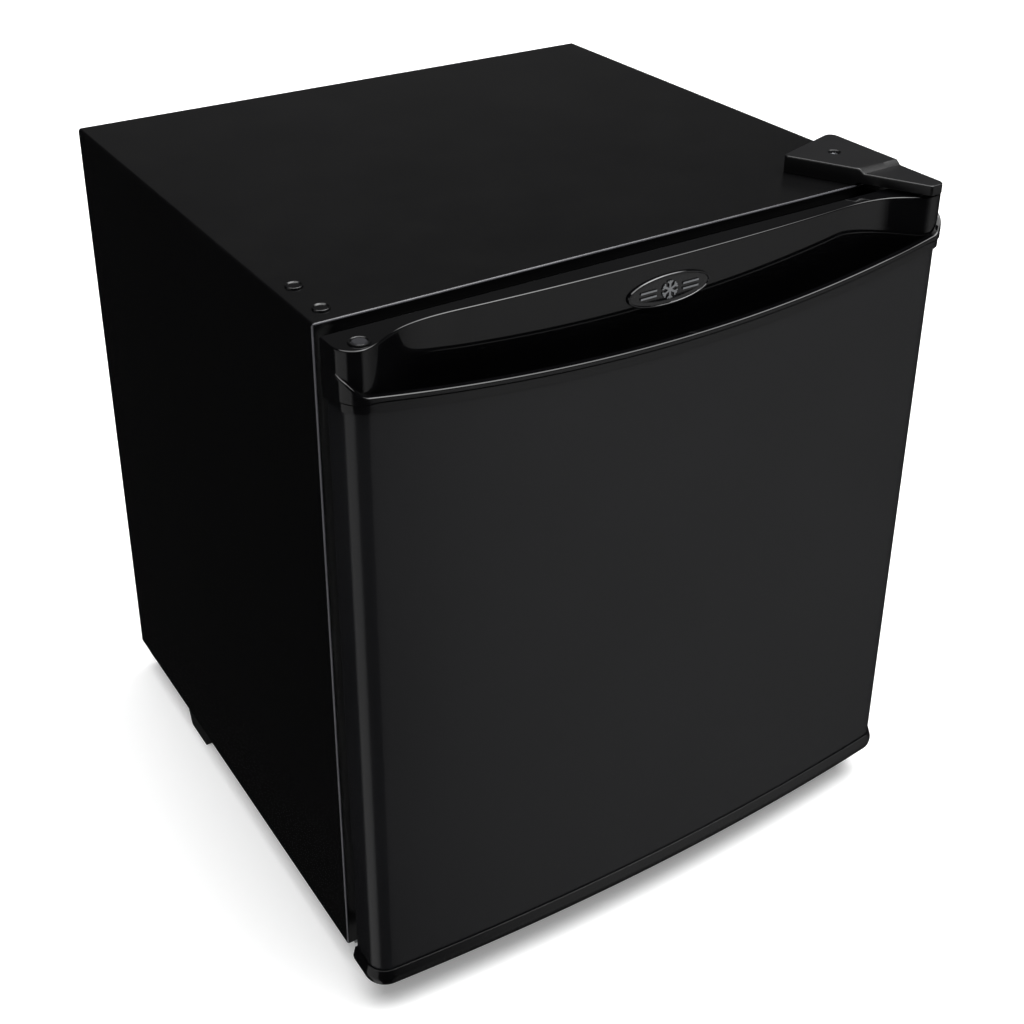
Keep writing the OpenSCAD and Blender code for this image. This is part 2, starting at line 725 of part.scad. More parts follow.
module discharge_line() {           // compressor to condenser, and condenser back to the drier
    x = comp_x - 20;
    y = comp_y + sqrt(pow(comp_dia / 2, 2) - 400);
    z = comp_z + 50;
    stub = down_x - cond_end - 0.2;
    color("#b06a3b") at_cab() {
        pipe([[x, y + 1.2, z], [x, cond_y, z], [down_x, cond_y, z], [down_x, cond_y, cond_z0],
            [down_x - stub, cond_y, cond_z0]], cond_d / 2, cond_bend);
        pipe([drier_p + [0, 0, 0.5], drier_p - [0, 0, 12], [drier_p[0], cond_y, drier_p[2] - 12],
            [-down_x, cond_y, drier_p[2] - 12], [-down_x, cond_y, cond_z1],
            [stub - down_x, cond_y, cond_z1]], cond_d / 2, cond_bend);
    }
}

module condenser_tube() {
    e = cond_end;
    color("#17181a") at_cab() {
        for (i = [0 : cond_runs - 1])
            rod([-e, cond_y, cond_z0 + i * cond_pitch], [e, cond_y, cond_z0 + i * cond_pitch], cond_d / 2);
        for (i = [0 : cond_runs - 2]) {
            s = i % 2 == 0 ? -1 : 1;
            translate([s * e, cond_y, cond_z0 + (i + 0.5) * cond_pitch]) rotate([90, s > 0 ? 90 : -90, 0])
                rotate_extrude(angle = 180) translate([cond_pitch / 2, 0]) circle(cond_d / 2);
        }
    }
}

module condenser_wires() {
    e = cond_end - 8;
    color("#17181a") at_cab() for (i = [0 : cond_wires - 1], s = [-1, 1])
        translate([-e + 2 * e * i / (cond_wires - 1), cond_y + s * ((cond_d + wire_d) / 2 - weld), cond_z0 - 10])
            cylinder(h = cond_z1 - cond_z0 + 20, d = wire_d);
}

module condenser_brackets() {
    y1 = cond_y - cond_d / 2 - wire_d - 0.4;
    color("#0f0f10") at_cab() for (x = [-clip_x, clip_x], z = clip_z) difference() {
        union() {
            box(x - 8, x + 8, cab_d - sheet_t, cab_d + 1.6, z - 20, z + 20);
            box(x - 6, x + 6, cab_d + 1.6 - bit, y1, z - 6, z + 6);
            box(x - 9, x + 9, y1 - 2, y1, z - 15, z + 15);
        }
        for (s = [-1, 1]) translate([x, cab_d + 8, z + s * 13]) rotate([90, 0, 0]) cylinder(h = 20, d = 3.6);
    }
}

module pan_head_screws() {
    color("#c8c8c8") at_cab() {
        for (x = [-clip_x, clip_x], z = clip_z, s = [-1, 1])
            translate([x, cab_d + 1.6, z + s * 13]) rotate([-90, 0, 0]) screw(3.5, 2, 6, 2.2);
        for (x = hang_x, y = hang_y) translate([x, y, fz_z1 - fz_t]) rotate([180, 0, 0]) screw(3.5, 7, 7, 2.2);
    }
}

// ---- Hinges, brackets and feet ----
module top_hinge_bracket() {
    x0 = hw - 22;
    x1 = axis_x + arm_r;
    color("#a8abb0") at_cab() difference() {
        union() {
            box(x0, x1, 1, 58, cab_h, cab_h + bracket_t);
            box(axis_x - arm_r, x1, -1, 4, cab_h, cab_h + joggle + bracket_t);
            box(axis_x - arm_r, x1, axis_y, 2, cab_h + joggle, cab_h + joggle + bracket_t);
            translate([axis_x, axis_y, cab_h + joggle]) cylinder(h = bracket_t, r = arm_r);
        }
        for (y = screw_y) translate([screw_x, y, cab_h - 1]) cylinder(h = 10, d = screw_d + 0.5);
        translate([axis_x, axis_y, cab_h]) cylinder(h = 20, d = pin_d);
        box(-far, far, -1.2, 0.8, cab_h - 1, cab_h + joggle);
    }
}

module top_hinge_pin() {
    color("#c8ccd0") at_cab() translate([axis_x, axis_y, cab_h - 18])
        cylinder(h = 18 + joggle + bracket_t, d = pin_d);
}

module top_hinge_screws() {
    color("#c8c8c8") at_cab() for (y = screw_y)
        translate([screw_x, y, cab_h + bracket_t]) hex_screw(screw_d, 16, 8, 4);
}

module cover_plan(inset) {      // outline of the hinge cover, drawn as rounded corners and sides
    i = inset;
    intersection() {
        polygon([[hw - 64 + 1.2 * i, 48.3 - i], [hw - 65.5 + 1.2 * i, 43 - i],
            [hw - 14 + 0.6 * i, axis_y - 18 + i], [hw - 3.5 - i, axis_y - 18 + i],
            [hw - 3.5 - i, 60 - 0.4 * i], [hw - 8.5 - i, 65.5 - 1.2 * i]]);
        translate([-far, axis_y - 16 + i]) square(2 * far);
    }
}

module top_hinge_cover() {
    color("#202023") at_cab() difference() {
        union() {
            translate([0, 0, cab_h + slip]) linear_extrude(cover_h - slip) intersection() {
                cover_plan(0);
                translate([0, -2]) square(far);
            }
            translate([0, 0, cab_h + 2]) linear_extrude(cover_h - 5) intersection() {
                cover_plan(0);
                translate([0, -far]) square([far, far - 2 + bit]);
            }
        }
        translate([0, 0, cab_h - 1]) linear_extrude(cover_h - 1) intersection() {
            cover_plan(2);
            translate([0, -3.5]) square(far);
        }
        translate([0, 0, cab_h - 1]) linear_extrude(cover_h - 4) intersection() {
            cover_plan(2);
            translate([0, -far]) square([far, far - 3.4]);
        }
        translate([cover_screw[0], cover_screw[1], cab_h]) cover_screw_hole();
    }
    color("#202023") at_cab() translate([cover_screw[0], cover_screw[1], cab_h]) difference() {
        translate([0, 0, slip]) cylinder(h = cover_h - slip - 1, d = 11.5);
        cover_screw_hole();
    }
}

module cover_screw_hole() {
    translate([0, 0, -1]) cylinder(h = 20, d = 4.4);
    translate([0, 0, cover_h - 3]) cylinder(h = 20, d = 8.4);
}

module hinge_cover_screw() {
    color("#c8c8c8") at_cab() translate([cover_screw[0], cover_screw[1], cab_h + cover_h - 3])
        screw(4, cover_h + 8, 7.6, 2);
}

module foot_bracket(with_arm) {     // plate below the right front corner
    x0 = hw - 50;
    x1 = axis_x + arm_r;
    difference() {
        union() {
            box(x0, x1, 1, plate_y, -bracket_t, 0);
            if (with_arm) {
                box(axis_x - arm_r, x1, -1, 4, -bracket_t - joggle, 0);
                box(axis_x - arm_r, x1, axis_y, 2, -bracket_t - joggle, -joggle);
                translate([axis_x, axis_y, -bracket_t - joggle]) cylinder(h = bracket_t, r = arm_r);
            }
        }
        for (y = low_screw_y) translate([low_screw_x, y, -10]) cylinder(h = 20, d = screw_d + 0.4);
        translate([foot_x, foot_y, -10]) cylinder(h = 20, r = stud_d / 2 + run_gap);
        if (with_arm) {
            translate([axis_x, axis_y, -20]) cylinder(h = 30, d = pin_d);
            box(-far, far, -1.2, 0.8, -joggle, 1);
        }
    }
}

module lower_hinge_bracket() { color("#a8abb0") at_cab() foot_bracket(true); }

module left_foot_bracket() { color("#a8abb0") at_cab() mirror([1, 0, 0]) foot_bracket(false); }

module lower_hinge_pin() {
    color("#c8ccd0") at_cab() translate([axis_x, axis_y, -joggle - bracket_t])
        cylinder(h = joggle + bracket_t + foot_cap_h - 2, d = pin_d);
}

module lower_bracket_screws() {
    color("#c8c8c8") at_cab() for (x = [-1, 1], y = low_screw_y)
        translate([x * low_screw_x, y, -bracket_t]) rotate([180, 0, 0]) hex_screw(screw_d, 14, 8, 4);
}

module levelling_foot() {           // stands on the floor, its stud reaches up into the cabinet
    r = foot_d / 2;
    at_cab() translate([foot_x, foot_y, -foot_h]) {
        rotate_extrude() polygon([[0, 0], [r - 1.5, 0], [r, 2], [r, 8], [r - 1, 9], [0, 9]]);
        translate([0, 0, 9 - bit]) cylinder(h = foot_h - bracket_t - 12, d = 16, $fn = 6);
        translate([0, 0, 5]) cylinder(h = foot_h + stud_h - 5, d = stud_d);
    }
}

module front_right_foot() { color("#111111") levelling_foot(); }

module front_left_foot() { color("#111111") mirror([1, 0, 0]) levelling_foot(); }

module skid(outline) {              // moulded block under the back corner
    at_cab() translate([hw - 5, 0, 0]) rotate([90, 0, -90]) linear_extrude(skid_w) polygon(outline);
}

module rear_foot() {
    skid([[-bay_y - 62, 0], [-bay_y - 52, -foot_h], [-bay_y - 22, -foot_h], [-bay_y - 18, 0]]);
}

module rear_foot_right() { color("#131313") rear_foot(); }

module rear_foot_left() { color("#131313") mirror([1, 0, 0]) rear_foot(); }

module rear_stops() {               // short blocks that stop the fridge tipping back
    color("#131313") for (s = [0, 1]) mirror([s, 0, 0])
        skid([[-cab_d + 2, 0], [-cab_d + 2, -foot_h / 2], [-cab_d + 16, -foot_h / 2], [-cab_d + 22, 0]]);
}

module hinge_hole_plugs() {
    color("#1f1f21") at_cab() for (y = screw_y) translate([-screw_x, y, cab_h]) {
        cylinder(h = 0.6, d = 11);
        translate([0, 0, 0.6 - bit]) cylinder(h = 0.8, r1 = 5.5, r2 = 4);
        translate([0, 0, -6]) cylinder(h = 6 + bit, d = plug_d - 0.4);
    }
}

module cord_gland() {               // grommet with a groove for the deck's edge
    collar = (gland_t - sheet_t - slip) / 2;
    color("#0d0d0d") at_cab() translate([gland_x, cab_d - 2 - sheet_t / 2, gland_z]) rotate([90, 0, 0])
        difference() {
            union() {
                cylinder(h = gland_t, d = cord_d + 4.6, center = true);
                for (s = [0, 1]) mirror([0, 0, s]) translate([0, 0, gland_t / 2 - collar])
                    cylinder(h = collar, d = cord_d + 9);
            }
            cylinder(h = 20, d = cord_d + 0.6, center = true);
        }
}

// ---- Door ----
module door_plan(inset) {           // bowed front, round corners and straight sides
    intersection() {
        translate([0, door_front + bow_r]) circle(bow_r - inset, $fn = bow_fn);
        union() {
            translate([-door_x, door_front - 5]) square([2 * door_x, door_t + 5]);
            translate([-door_hw + inset, corner_y]) square([2 * (door_hw - inset), -seal_gap - corner_y]);
            for (s = [-1, 1]) translate([s * door_x, corner_y]) circle(corner_r - inset);
        }
    }
}

module door_block(inset, z0, z1) { translate([0, 0, z0]) linear_extrude(z1 - z0) door_plan(inset); }

module above_arc(z) {               // everything above the smiling line through z at the middle
    translate([0, -100, z + lip_r]) rotate([-90, 0, 0]) cylinder(h = 200, r = lip_r, $fn = bow_fn);
}

module recess_plan(grow) {          // plan of the space in front of the pocket's wall
    difference() {
        translate([-pocket_x, -far]) square([2 * pocket_x, far]);
        translate([0, door_front + bow_r]) circle(wall_r - grow, $fn = bow_fn);
    }
    for (s = [-1, 1]) translate([s * pocket_x, wall_end_y - flare_r + lap / 2])
        circle(flare_r + grow, $fn = bow_fn / 3);
}

module below_lip() {                // everything below the lip's line, ends turned up at the corners
    along_y(-100, 50) {
        difference() {
            translate([-lip_half - 5, 0]) square([2 * lip_half + 10, lip_end_z + 1]);
            translate([0, lip_z + lip_r]) circle(lip_r, $fn = bow_fn);
        }
        for (s = [0, 1]) mirror([s, 0]) polygon([[lip_half + 4, 0], [lip_half + 4, lip_end_z],
            [door_hw, lip_side_z], [door_hw + 5, lip_side_z], [door_hw + 5, 0]]);
    }
}

module pocket_tub() {               // outside of the pocket's wall and floor, below the trim line
    translate([0, 0, pocket_z - cap_t]) linear_extrude(trim_z + 12 - pocket_z + cap_t) intersection() {
        recess_plan(1.5);
        door_plan(lip_t - 1.5);
    }
}

module handle_space() {             // room for the fingers, open in front above the lip
    difference() {
        translate([0, 0, pocket_z]) linear_extrude(cab_h) {
            recess_plan(0);
            translate([-far / 2, -far + post_y]) square(far);
        }
        difference() {
            below_lip();
            door_block(lip_t, 0, cab_h + 10);
        }
    }
}

module cap_core() {                 // foam space behind the pocket's wall
    translate([0, 0, trim_z - 5]) linear_extrude(cab_h - cap_t - trim_z + 5) difference() {
        translate([-pocket_x, door_front]) square([2 * pocket_x, door_t - cap_t]);
        recess_plan(cap_t);
    }
}

module door_top_cap() {
    color("#1c1c1e") at_cab() difference() {
        union() {
            intersection() {
                door_block(0, trim_z, cab_h);
                above_arc(trim_z);
            }
            pocket_tub();
        }
        handle_space();
        cap_core();
        badge_space(0.15);
        for (s = [-1, 1]) translate([s * axis_x, axis_y, cab_h - bush_h - 2]) cylinder(h = 30, r = bush_r + bush_seat);
    }
}

module oval(w, h) {
    polygon([for (i = [0 : 47]) [w / 2 * cos(i * 7.5), h / 2 * sin(i * 7.5)]]);
}

module badge_space(grow) {
    along_y(badge_y - 5, badge_y + 1.4) translate([0, badge_z]) oval(badge_w + 2 * grow, badge_h + 2 * grow);
}

module badge_plate() {
    color("#17171a") at_cab() difference() {
        along_y(badge_y - 1.6, badge_y + 1.2) translate([0, badge_z]) oval(badge_w, badge_h);
        along_y(badge_y - 5, badge_y - 0.6) translate([0, badge_z]) oval(badge_w - 4, badge_h - 4);
    }
}

module badge_emblem() {             // six-armed frost star between two bars
    color("#c9ccd2") at_cab() along_y(badge_y - 1.4, badge_y - 0.6) translate([0, badge_z]) {
        for (a = [0, 60, 120]) rotate(a) square([1.4, 12], center = true);
        for (a = [0 : 60 : 300]) rotate(a) translate([0, 4]) for (s = [-1, 1]) rotate(s * 50)
            translate([0, 1.1]) square([1, 2.8], center = true);
        for (s = [-1, 1], z = [-1.8, 1.8]) translate([s * 16, z]) square([12, 1.2], center = true);
    }
}

module door_bottom_cap() {
    color("#1c1c1e") at_cab() difference() {
        door_block(0, 0, foot_cap_h);
        translate([0, 0, cap_t]) linear_extrude(far) intersection() {
            door_plan(skin_in + skin_t);
            translate([-hw + 30, door_front]) square([cab_w - 60, door_t - cap_t]);
        }
        for (s = [-1, 1]) translate([s * axis_x, axis_y, -1]) cylinder(h = foot_cap_h + 2, r = bush_r + bush_seat);
    }
}

module door_skin() {
    color("#232327") at_cab() difference() {
        door_block(skin_in, foot_cap_h, lip_side_z);
        difference() {
            door_block(skin_in + skin_t, 0, far);
            box(-far, far, -seal_gap - skin_t, 0, 0, far);
        }
        box(-base_x + 12, base_x - 12, -seal_gap - 2 * skin_t, 0, 0, far);
        above_arc(trim_z);
    }
}

module door_core_ring(inset) {      // raised rim of the door liner
    along_y(-seal_gap, dyke_y - inset) difference() {
        rrect(-dyke_x + inset, dyke_x - inset, dyke_z0 + inset, dyke_z1 - inset, liner_r - inset);
        rrect(-dyke_x + dyke_w - inset, dyke_x - dyke_w + inset, dyke_z0 + dyke_w - inset,
            dyke_z1 - dyke_w + inset, 4 + inset);
    }
}

module door_foam() {
    color("#e8d9a0") at_cab() difference() {
        union() {
            difference() {
                translate([0, 0, cap_t]) linear_extrude(trim_z - 2) intersection() {
                    door_plan(skin_in + skin_t);
                    translate([-far / 2, door_front]) square([far, door_t - skin_t]);
                }
                box(hw - 30, far, -far, far, -far, foot_cap_h);
                box(-far, -hw + 30, -far, far, -far, foot_cap_h);
                box(-far, far, -seal_gap - cap_t, far, -far, foot_cap_h);
                pocket_tub();
                above_arc(trim_z);
            }
            cap_core();
            difference() {
                door_core_ring(liner_t);
                box(-far, far, -far, -seal_gap - skin_t - bit, -far, far);
            }
            box(-base_x + 12, base_x - 12, -seal_gap - skin_t - bit, -seal_gap, foot_cap_h, trim_z);
        }
        bush_space();
    }
}

module bush_space() {
    for (s = [-1, 1]) {
        translate([s * axis_x, axis_y, cab_h - bush_h - 2]) cylinder(h = 30, r = bush_r + bush_seat);
        translate([s * axis_x, axis_y, -1]) cylinder(h = foot_cap_h + 6, r = bush_r + bush_seat);
    }
}

module door_liner() {
    color("#f2f2ee") at_cab() {
        difference() {
            union() {
                along_y(-seal_gap, base_y) rrect(-base_x, base_x, base_z0, base_z1, 6);
                door_core_ring(0);
            }
            door_core_ring(liner_t);
        }
        for (s = [-1, 1], z = rack_z)
            translate([s * (dyke_x - dyke_w - lug / 2), 1, z - 3]) cube([lug + bit, 22, 6], center = true);
    }
}

module seal_ring(w0, w1, y0, y1) {  // ring between two distances in from its outer edge
    along_y(y0, y1) difference() {
        rrect(-seal_x + w0, seal_x - w0, 14 + w0, cab_h - 8 - w0, 10);
        rrect(-seal_x + w1, seal_x - w1, 14 + w1, cab_h - 8 - w1, 4);
    }
}

module door_gasket() {
    color("#0e0e0f") at_cab() {
        seal_ring(1, seal_w - 2, base_y, base_y + 4);
        seal_ring(5, seal_w - 6, base_y + 4 - bit, -6);
        seal_ring(0, seal_w, -6 - bit, -slip);
    }
}

module bush(length) {               // plain bush with a collar at its lower end
    difference() {
        union() {
            cylinder(h = length, r = bush_r);
            children();
        }
        translate([0, 0, -5]) cylinder(h = length + 10, r = pin_d / 2 + run_gap);
    }
}

module door_bush_top() {
    color("#e6e6e2") at_cab() translate([axis_x, axis_y, cab_h - bush_h]) bush(bush_h);
}

module door_bush_bottom() {
    color("#e6e6e2") at_cab() translate([axis_x, axis_y, 0]) bush(foot_cap_h)
        translate([0, 0, -joggle]) cylinder(h = joggle, d = pin_d + 8);
}

module spare_hole_plug() {
    color("#8e9196") at_cab() for (z = [cab_h - 12, 0]) translate([-axis_x, axis_y, z]) {
        cylinder(h = 10, r = bush_r);
        if (z > 0) translate([0, 0, 10 - bit]) cylinder(h = 1, r1 = 4.6, r2 = 3.6);
    }
}

module rack(z, h) {                 // open bin whose floor stands on the lugs
    y0 = base_y + 0.5;
    y1 = base_y + rack_d;
    color("#e4eaee") at_cab() difference() {
        translate([-rack_x, 0, 0]) rotate([90, 0, 90]) linear_extrude(2 * rack_x)
            polygon([[y0, z], [y1 - 6, z], [y1, z + 12], [y1, z + h], [y0, z + h]]);
        translate([-rack_x + rack_t, 0, 0]) rotate([90, 0, 90]) linear_extrude(2 * (rack_x - rack_t))
            polygon([[y0 + rack_t, z + rack_t], [y1 - 7, z + rack_t], [y1 - rack_t, z + 12],
                [y1 - rack_t, z + h + 1], [y0 + rack_t, z + h + 1]]);
    }
}

module lower_door_rack() { rack(rack_z[0], rack_h + 10); }

module upper_door_rack() { rack(rack_z[1], rack_h); }

cabinet_shell();
back_panel();
bottom_panel();
front_crossmember();
bay_panel();
compressor_tray();
insulation_foam();
inner_liner();
front_frame();
evaporator_box();
evaporator_hangers();
freezer_frame();
thermostat_housing();
thermostat();
compressor();
compressor_grommets();
compressor_bolts();
start_relay_cover();
condenser_tube();
condenser_wires();
condenser_brackets();
pan_head_screws();
filter_drier();
capillary_tube();
suction_line();
discharge_line();
rear_foot_left();
rear_foot_right();
rear_stops();
top_hinge_bracket();
top_hinge_pin();
top_hinge_screws();
top_hinge_cover();
hinge_cover_screw();
lower_hinge_bracket();
lower_hinge_pin();
lower_bracket_screws();
left_foot_bracket();
hinge_hole_plugs();
cord_gland();
door_skin();
door_foam();
door_liner();
door_gasket();
door_top_cap();
door_bottom_cap();
badge_plate();
badge_emblem();
door_bush_top();
door_bush_bottom();
spare_hole_plug();
upper_door_rack();
lower_door_rack();
freezer_flap();
drip_tray();
wire_shelf();
thermostat_knob();
thermostat_shaft();
front_left_foot();
front_right_foot();
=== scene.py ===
"""Finishes and fine shapes of a compact refrigerator: folded cabinet, bowed door with a pocket handle,
hinge cover, seal, feet, cold box, racks, compressor and condenser. Lengths in the shape functions are
millimetres, measured from the cabinet's front face and the lower edge of its sides."""

import json
import math

import bmesh
import bpy
import numpy as np
from bpy.props import FloatProperty, FloatVectorProperty, PointerProperty
from mathutils import Matrix, Vector


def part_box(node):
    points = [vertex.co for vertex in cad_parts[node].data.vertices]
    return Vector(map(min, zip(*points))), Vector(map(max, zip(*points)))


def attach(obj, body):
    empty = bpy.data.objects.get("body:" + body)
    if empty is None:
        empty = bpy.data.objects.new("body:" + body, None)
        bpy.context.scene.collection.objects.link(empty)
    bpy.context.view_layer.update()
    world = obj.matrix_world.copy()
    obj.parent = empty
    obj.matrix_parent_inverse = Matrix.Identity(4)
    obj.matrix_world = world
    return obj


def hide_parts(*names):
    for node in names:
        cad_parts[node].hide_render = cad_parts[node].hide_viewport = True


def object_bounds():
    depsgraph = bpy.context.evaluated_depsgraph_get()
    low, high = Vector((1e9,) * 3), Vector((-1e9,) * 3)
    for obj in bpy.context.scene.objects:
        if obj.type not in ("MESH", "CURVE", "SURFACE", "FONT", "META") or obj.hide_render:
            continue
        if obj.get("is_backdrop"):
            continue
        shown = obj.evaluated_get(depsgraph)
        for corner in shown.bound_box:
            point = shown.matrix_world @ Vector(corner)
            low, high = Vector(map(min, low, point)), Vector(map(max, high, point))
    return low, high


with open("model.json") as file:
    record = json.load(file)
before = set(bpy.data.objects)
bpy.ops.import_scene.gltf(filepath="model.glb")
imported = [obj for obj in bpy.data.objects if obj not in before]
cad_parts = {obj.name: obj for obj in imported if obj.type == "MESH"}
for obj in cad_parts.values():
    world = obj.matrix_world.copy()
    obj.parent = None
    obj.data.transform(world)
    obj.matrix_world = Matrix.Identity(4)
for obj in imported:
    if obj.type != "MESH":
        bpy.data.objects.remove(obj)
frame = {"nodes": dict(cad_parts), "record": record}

bl_info = {
    "name": "Compact refrigerator",
    "version": (1, 0, 0),
    "blender": (4, 5, 0),
    "location": "View3D > Sidebar > Fridge",
    "description": "Builds the visible shapes, finishes and studio of a compact refrigerator",
    "category": "Add Mesh",
}

MM = 0.001
SHELL = [tuple(v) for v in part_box("cabinet_shell")]
CAP = [tuple(v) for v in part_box("door_top_cap")]
FRONT, BASE = SHELL[0][1], SHELL[0][2]          # origin of the shape functions
HALF = SHELL[1][0] / MM                         # half the cabinet's width
DEEP = (SHELL[1][1] - FRONT) / MM
HIGH = (SHELL[1][2] - BASE) / MM
CAP_HALF = CAP[1][0] / MM                       # half the width over the door's caps
NOSE = (CAP[0][1] - FRONT) / MM                 # foremost point of the door
REAR = (CAP[1][1] - FRONT) / MM                 # back of the door
HINGE_X = 1000 * frame["record"]["behaviour"]["joints"][0]["pos_m"][0]
HINGE_Y = 1000 * frame["record"]["behaviour"]["joints"][0]["pos_m"][1] - FRONT / MM
SUPPORT = 0.06                                  # edge loops that keep flats flat beside a round


# ---- Settings ----
class FridgeSizes(bpy.types.PropertyGroup):
    corner: FloatProperty(name="Door corner radius", description="Radius of the door's upright corners",
                          default=16 * MM, min=8 * MM, max=24 * MM, unit="LENGTH")
    sag: FloatProperty(name="Door bow", description="How far the door's front bows out between its corners",
                       default=9.7 * MM, min=2 * MM, max=20 * MM, unit="LENGTH")
    lip_drop: FloatProperty(name="Lip drop", description="Door top down to the middle of the pocket's lip",
                            default=40.8 * MM, min=30 * MM, max=50 * MM, unit="LENGTH")
    lip_rise: FloatProperty(name="Lip rise", description="How much higher the lip is at its ends",
                            default=12.2 * MM, min=0, max=20 * MM, unit="LENGTH")
    trim: FloatProperty(name="Trim height", description="Height of the trim below the lip",
                        default=9.7 * MM, min=4 * MM, max=16 * MM, unit="LENGTH")
    pocket: FloatProperty(name="Pocket depth", description="Pocket wall behind the front of the door",
                          default=26 * MM, min=16 * MM, max=30 * MM, unit="LENGTH")
    edge: FloatProperty(name="Moulded edge", description="Radius of the edges of moulded pieces",
                        default=1.3 * MM, min=0.4 * MM, max=2.5 * MM, unit="LENGTH")
    fold: FloatProperty(name="Sheet fold", description="Outside radius of the folded front edge",
                        default=1.3 * MM, min=0.9 * MM, max=3 * MM, unit="LENGTH")


class FridgeLooks(bpy.types.PropertyGroup):
    cabinet: FloatVectorProperty(name="Cabinet", description="Colour of the cabinet's paint", subtype="COLOR",
                                 size=3, default=(0.0016, 0.0016, 0.0018), min=0, max=1)
    door: FloatVectorProperty(name="Door", description="Colour of the door's coated sheet", subtype="COLOR",
                              size=3, default=(0.0058, 0.0059, 0.0068), min=0, max=1)
    moulded: FloatVectorProperty(name="Gloss mouldings", description="Colour of the polished black mouldings",
                                 subtype="COLOR", size=3, default=(0.0022, 0.0022, 0.0025), min=0, max=1)
    inside: FloatVectorProperty(name="Inside", description="Colour of the white mouldings inside",
                                subtype="COLOR", size=3, default=(0.80, 0.81, 0.80), min=0, max=1)
    key: FloatProperty(name="Key light", description="Strength of the large overhead light",
                       default=1.0, min=0, max=4)


# ---- Shape tools ----
def place(points):
    """Millimetres from the cabinet's front lower edge to metres in the part's frame."""
    return np.asarray(points, float) * MM + np.array([0, FRONT, BASE])


def rounded(corners, steps=6, closed=True):
    """A polyline whose corners are arcs tangent to both sides. corners is (..., k, 2) points with k radii:
    the arc's centre is r / sin(half angle) along the bisector, and its points turn evenly between the
    two tangent directions. A support point stands either side of each arc."""
    points, radii = corners
    points = np.asarray(points, float)
    k, out = points.shape[-2], []
    for i in range(k):
        p = points[..., i, :]
        if radii[i] <= 0 or (not closed and i in (0, k - 1)):
            out.append(p[..., None, :])
            continue
        a = points[..., i - 1, :] - p
        b = points[..., (i + 1) % k, :] - p
        la, lb = np.linalg.norm(a, axis=-1), np.linalg.norm(b, axis=-1)
        a, b = a / la[..., None], b / lb[..., None]
        half = np.arccos(np.clip((a * b).sum(-1), -1, 1)) / 2
        r = np.minimum(radii[i], 0.48 * np.minimum(la, lb) * np.tan(half))[..., None]
        t = r / np.tan(half)[..., None]
        bis = a + b
        c = p + bis / np.linalg.norm(bis, axis=-1)[..., None] * r / np.sin(half)[..., None]
        u, v = p + a * t - c, p + b * t - c
        turn = (np.pi - 2 * half)[..., None]
        w = np.linspace(0, 1, steps + 1)
        arc = [c + (np.sin((1 - x) * turn) * u + np.sin(x * turn) * v) / np.sin(turn) for x in w]
        out += [(p + a * (t + SUPPORT))[..., None, :], np.stack(arc, -2), (p + b * (t + SUPPORT))[..., None, :]]
    return np.concatenate(out, axis=-2)


def spline(control, per=8):
    """Uniform cubic B-spline through the neighbourhood of its control points, ends held."""
    c = np.asarray(control, float)
    c = np.vstack([2 * c[:1] - c[1:2], c, 2 * c[-1:] - c[-2:-1]])
    t = np.linspace(0, 1, per, endpoint=False)[None, :, None]
    a, b, d, e = (c[i:len(c) - 3 + i, None, :] for i in range(4))
    p = ((1 - t) ** 3 * a + (3 * t**3 - 6 * t**2 + 4) * b + (-3 * t**3 + 3 * t**2 + 3 * t + 1) * d + t**3 * e) / 6
    return np.vstack([p.reshape(-1, 2), (c[-3:-2] + 4 * c[-2:-1] + c[-1:]) / 6])


def normals(path):
    """Unit normals on the left of a plan path, from the central difference of its points."""
    d = np.gradient(path, axis=0)
    n = np.stack([d[:, 1], -d[:, 0]], -1)
    return n / np.linalg.norm(n, axis=1)[:, None]


def step(x, lo, hi):
    """Smooth step from 0 at lo to 1 at hi: 3t2 - 2t3."""
    t = np.clip((x - lo) / (hi - lo), 0, 1)
    return t * t * (3 - 2 * t)


def swept(path, out, profile):
    """Points of a profile (inset, height) carried along a plan path: path - inset x outward normal."""
    profile = np.broadcast_to(profile, (len(path),) + profile.shape[-2:])
    xy = path[:, None, :] - out[:, None, :] * profile[..., :1]
    return np.concatenate([xy, profile[..., 1:]], -1)


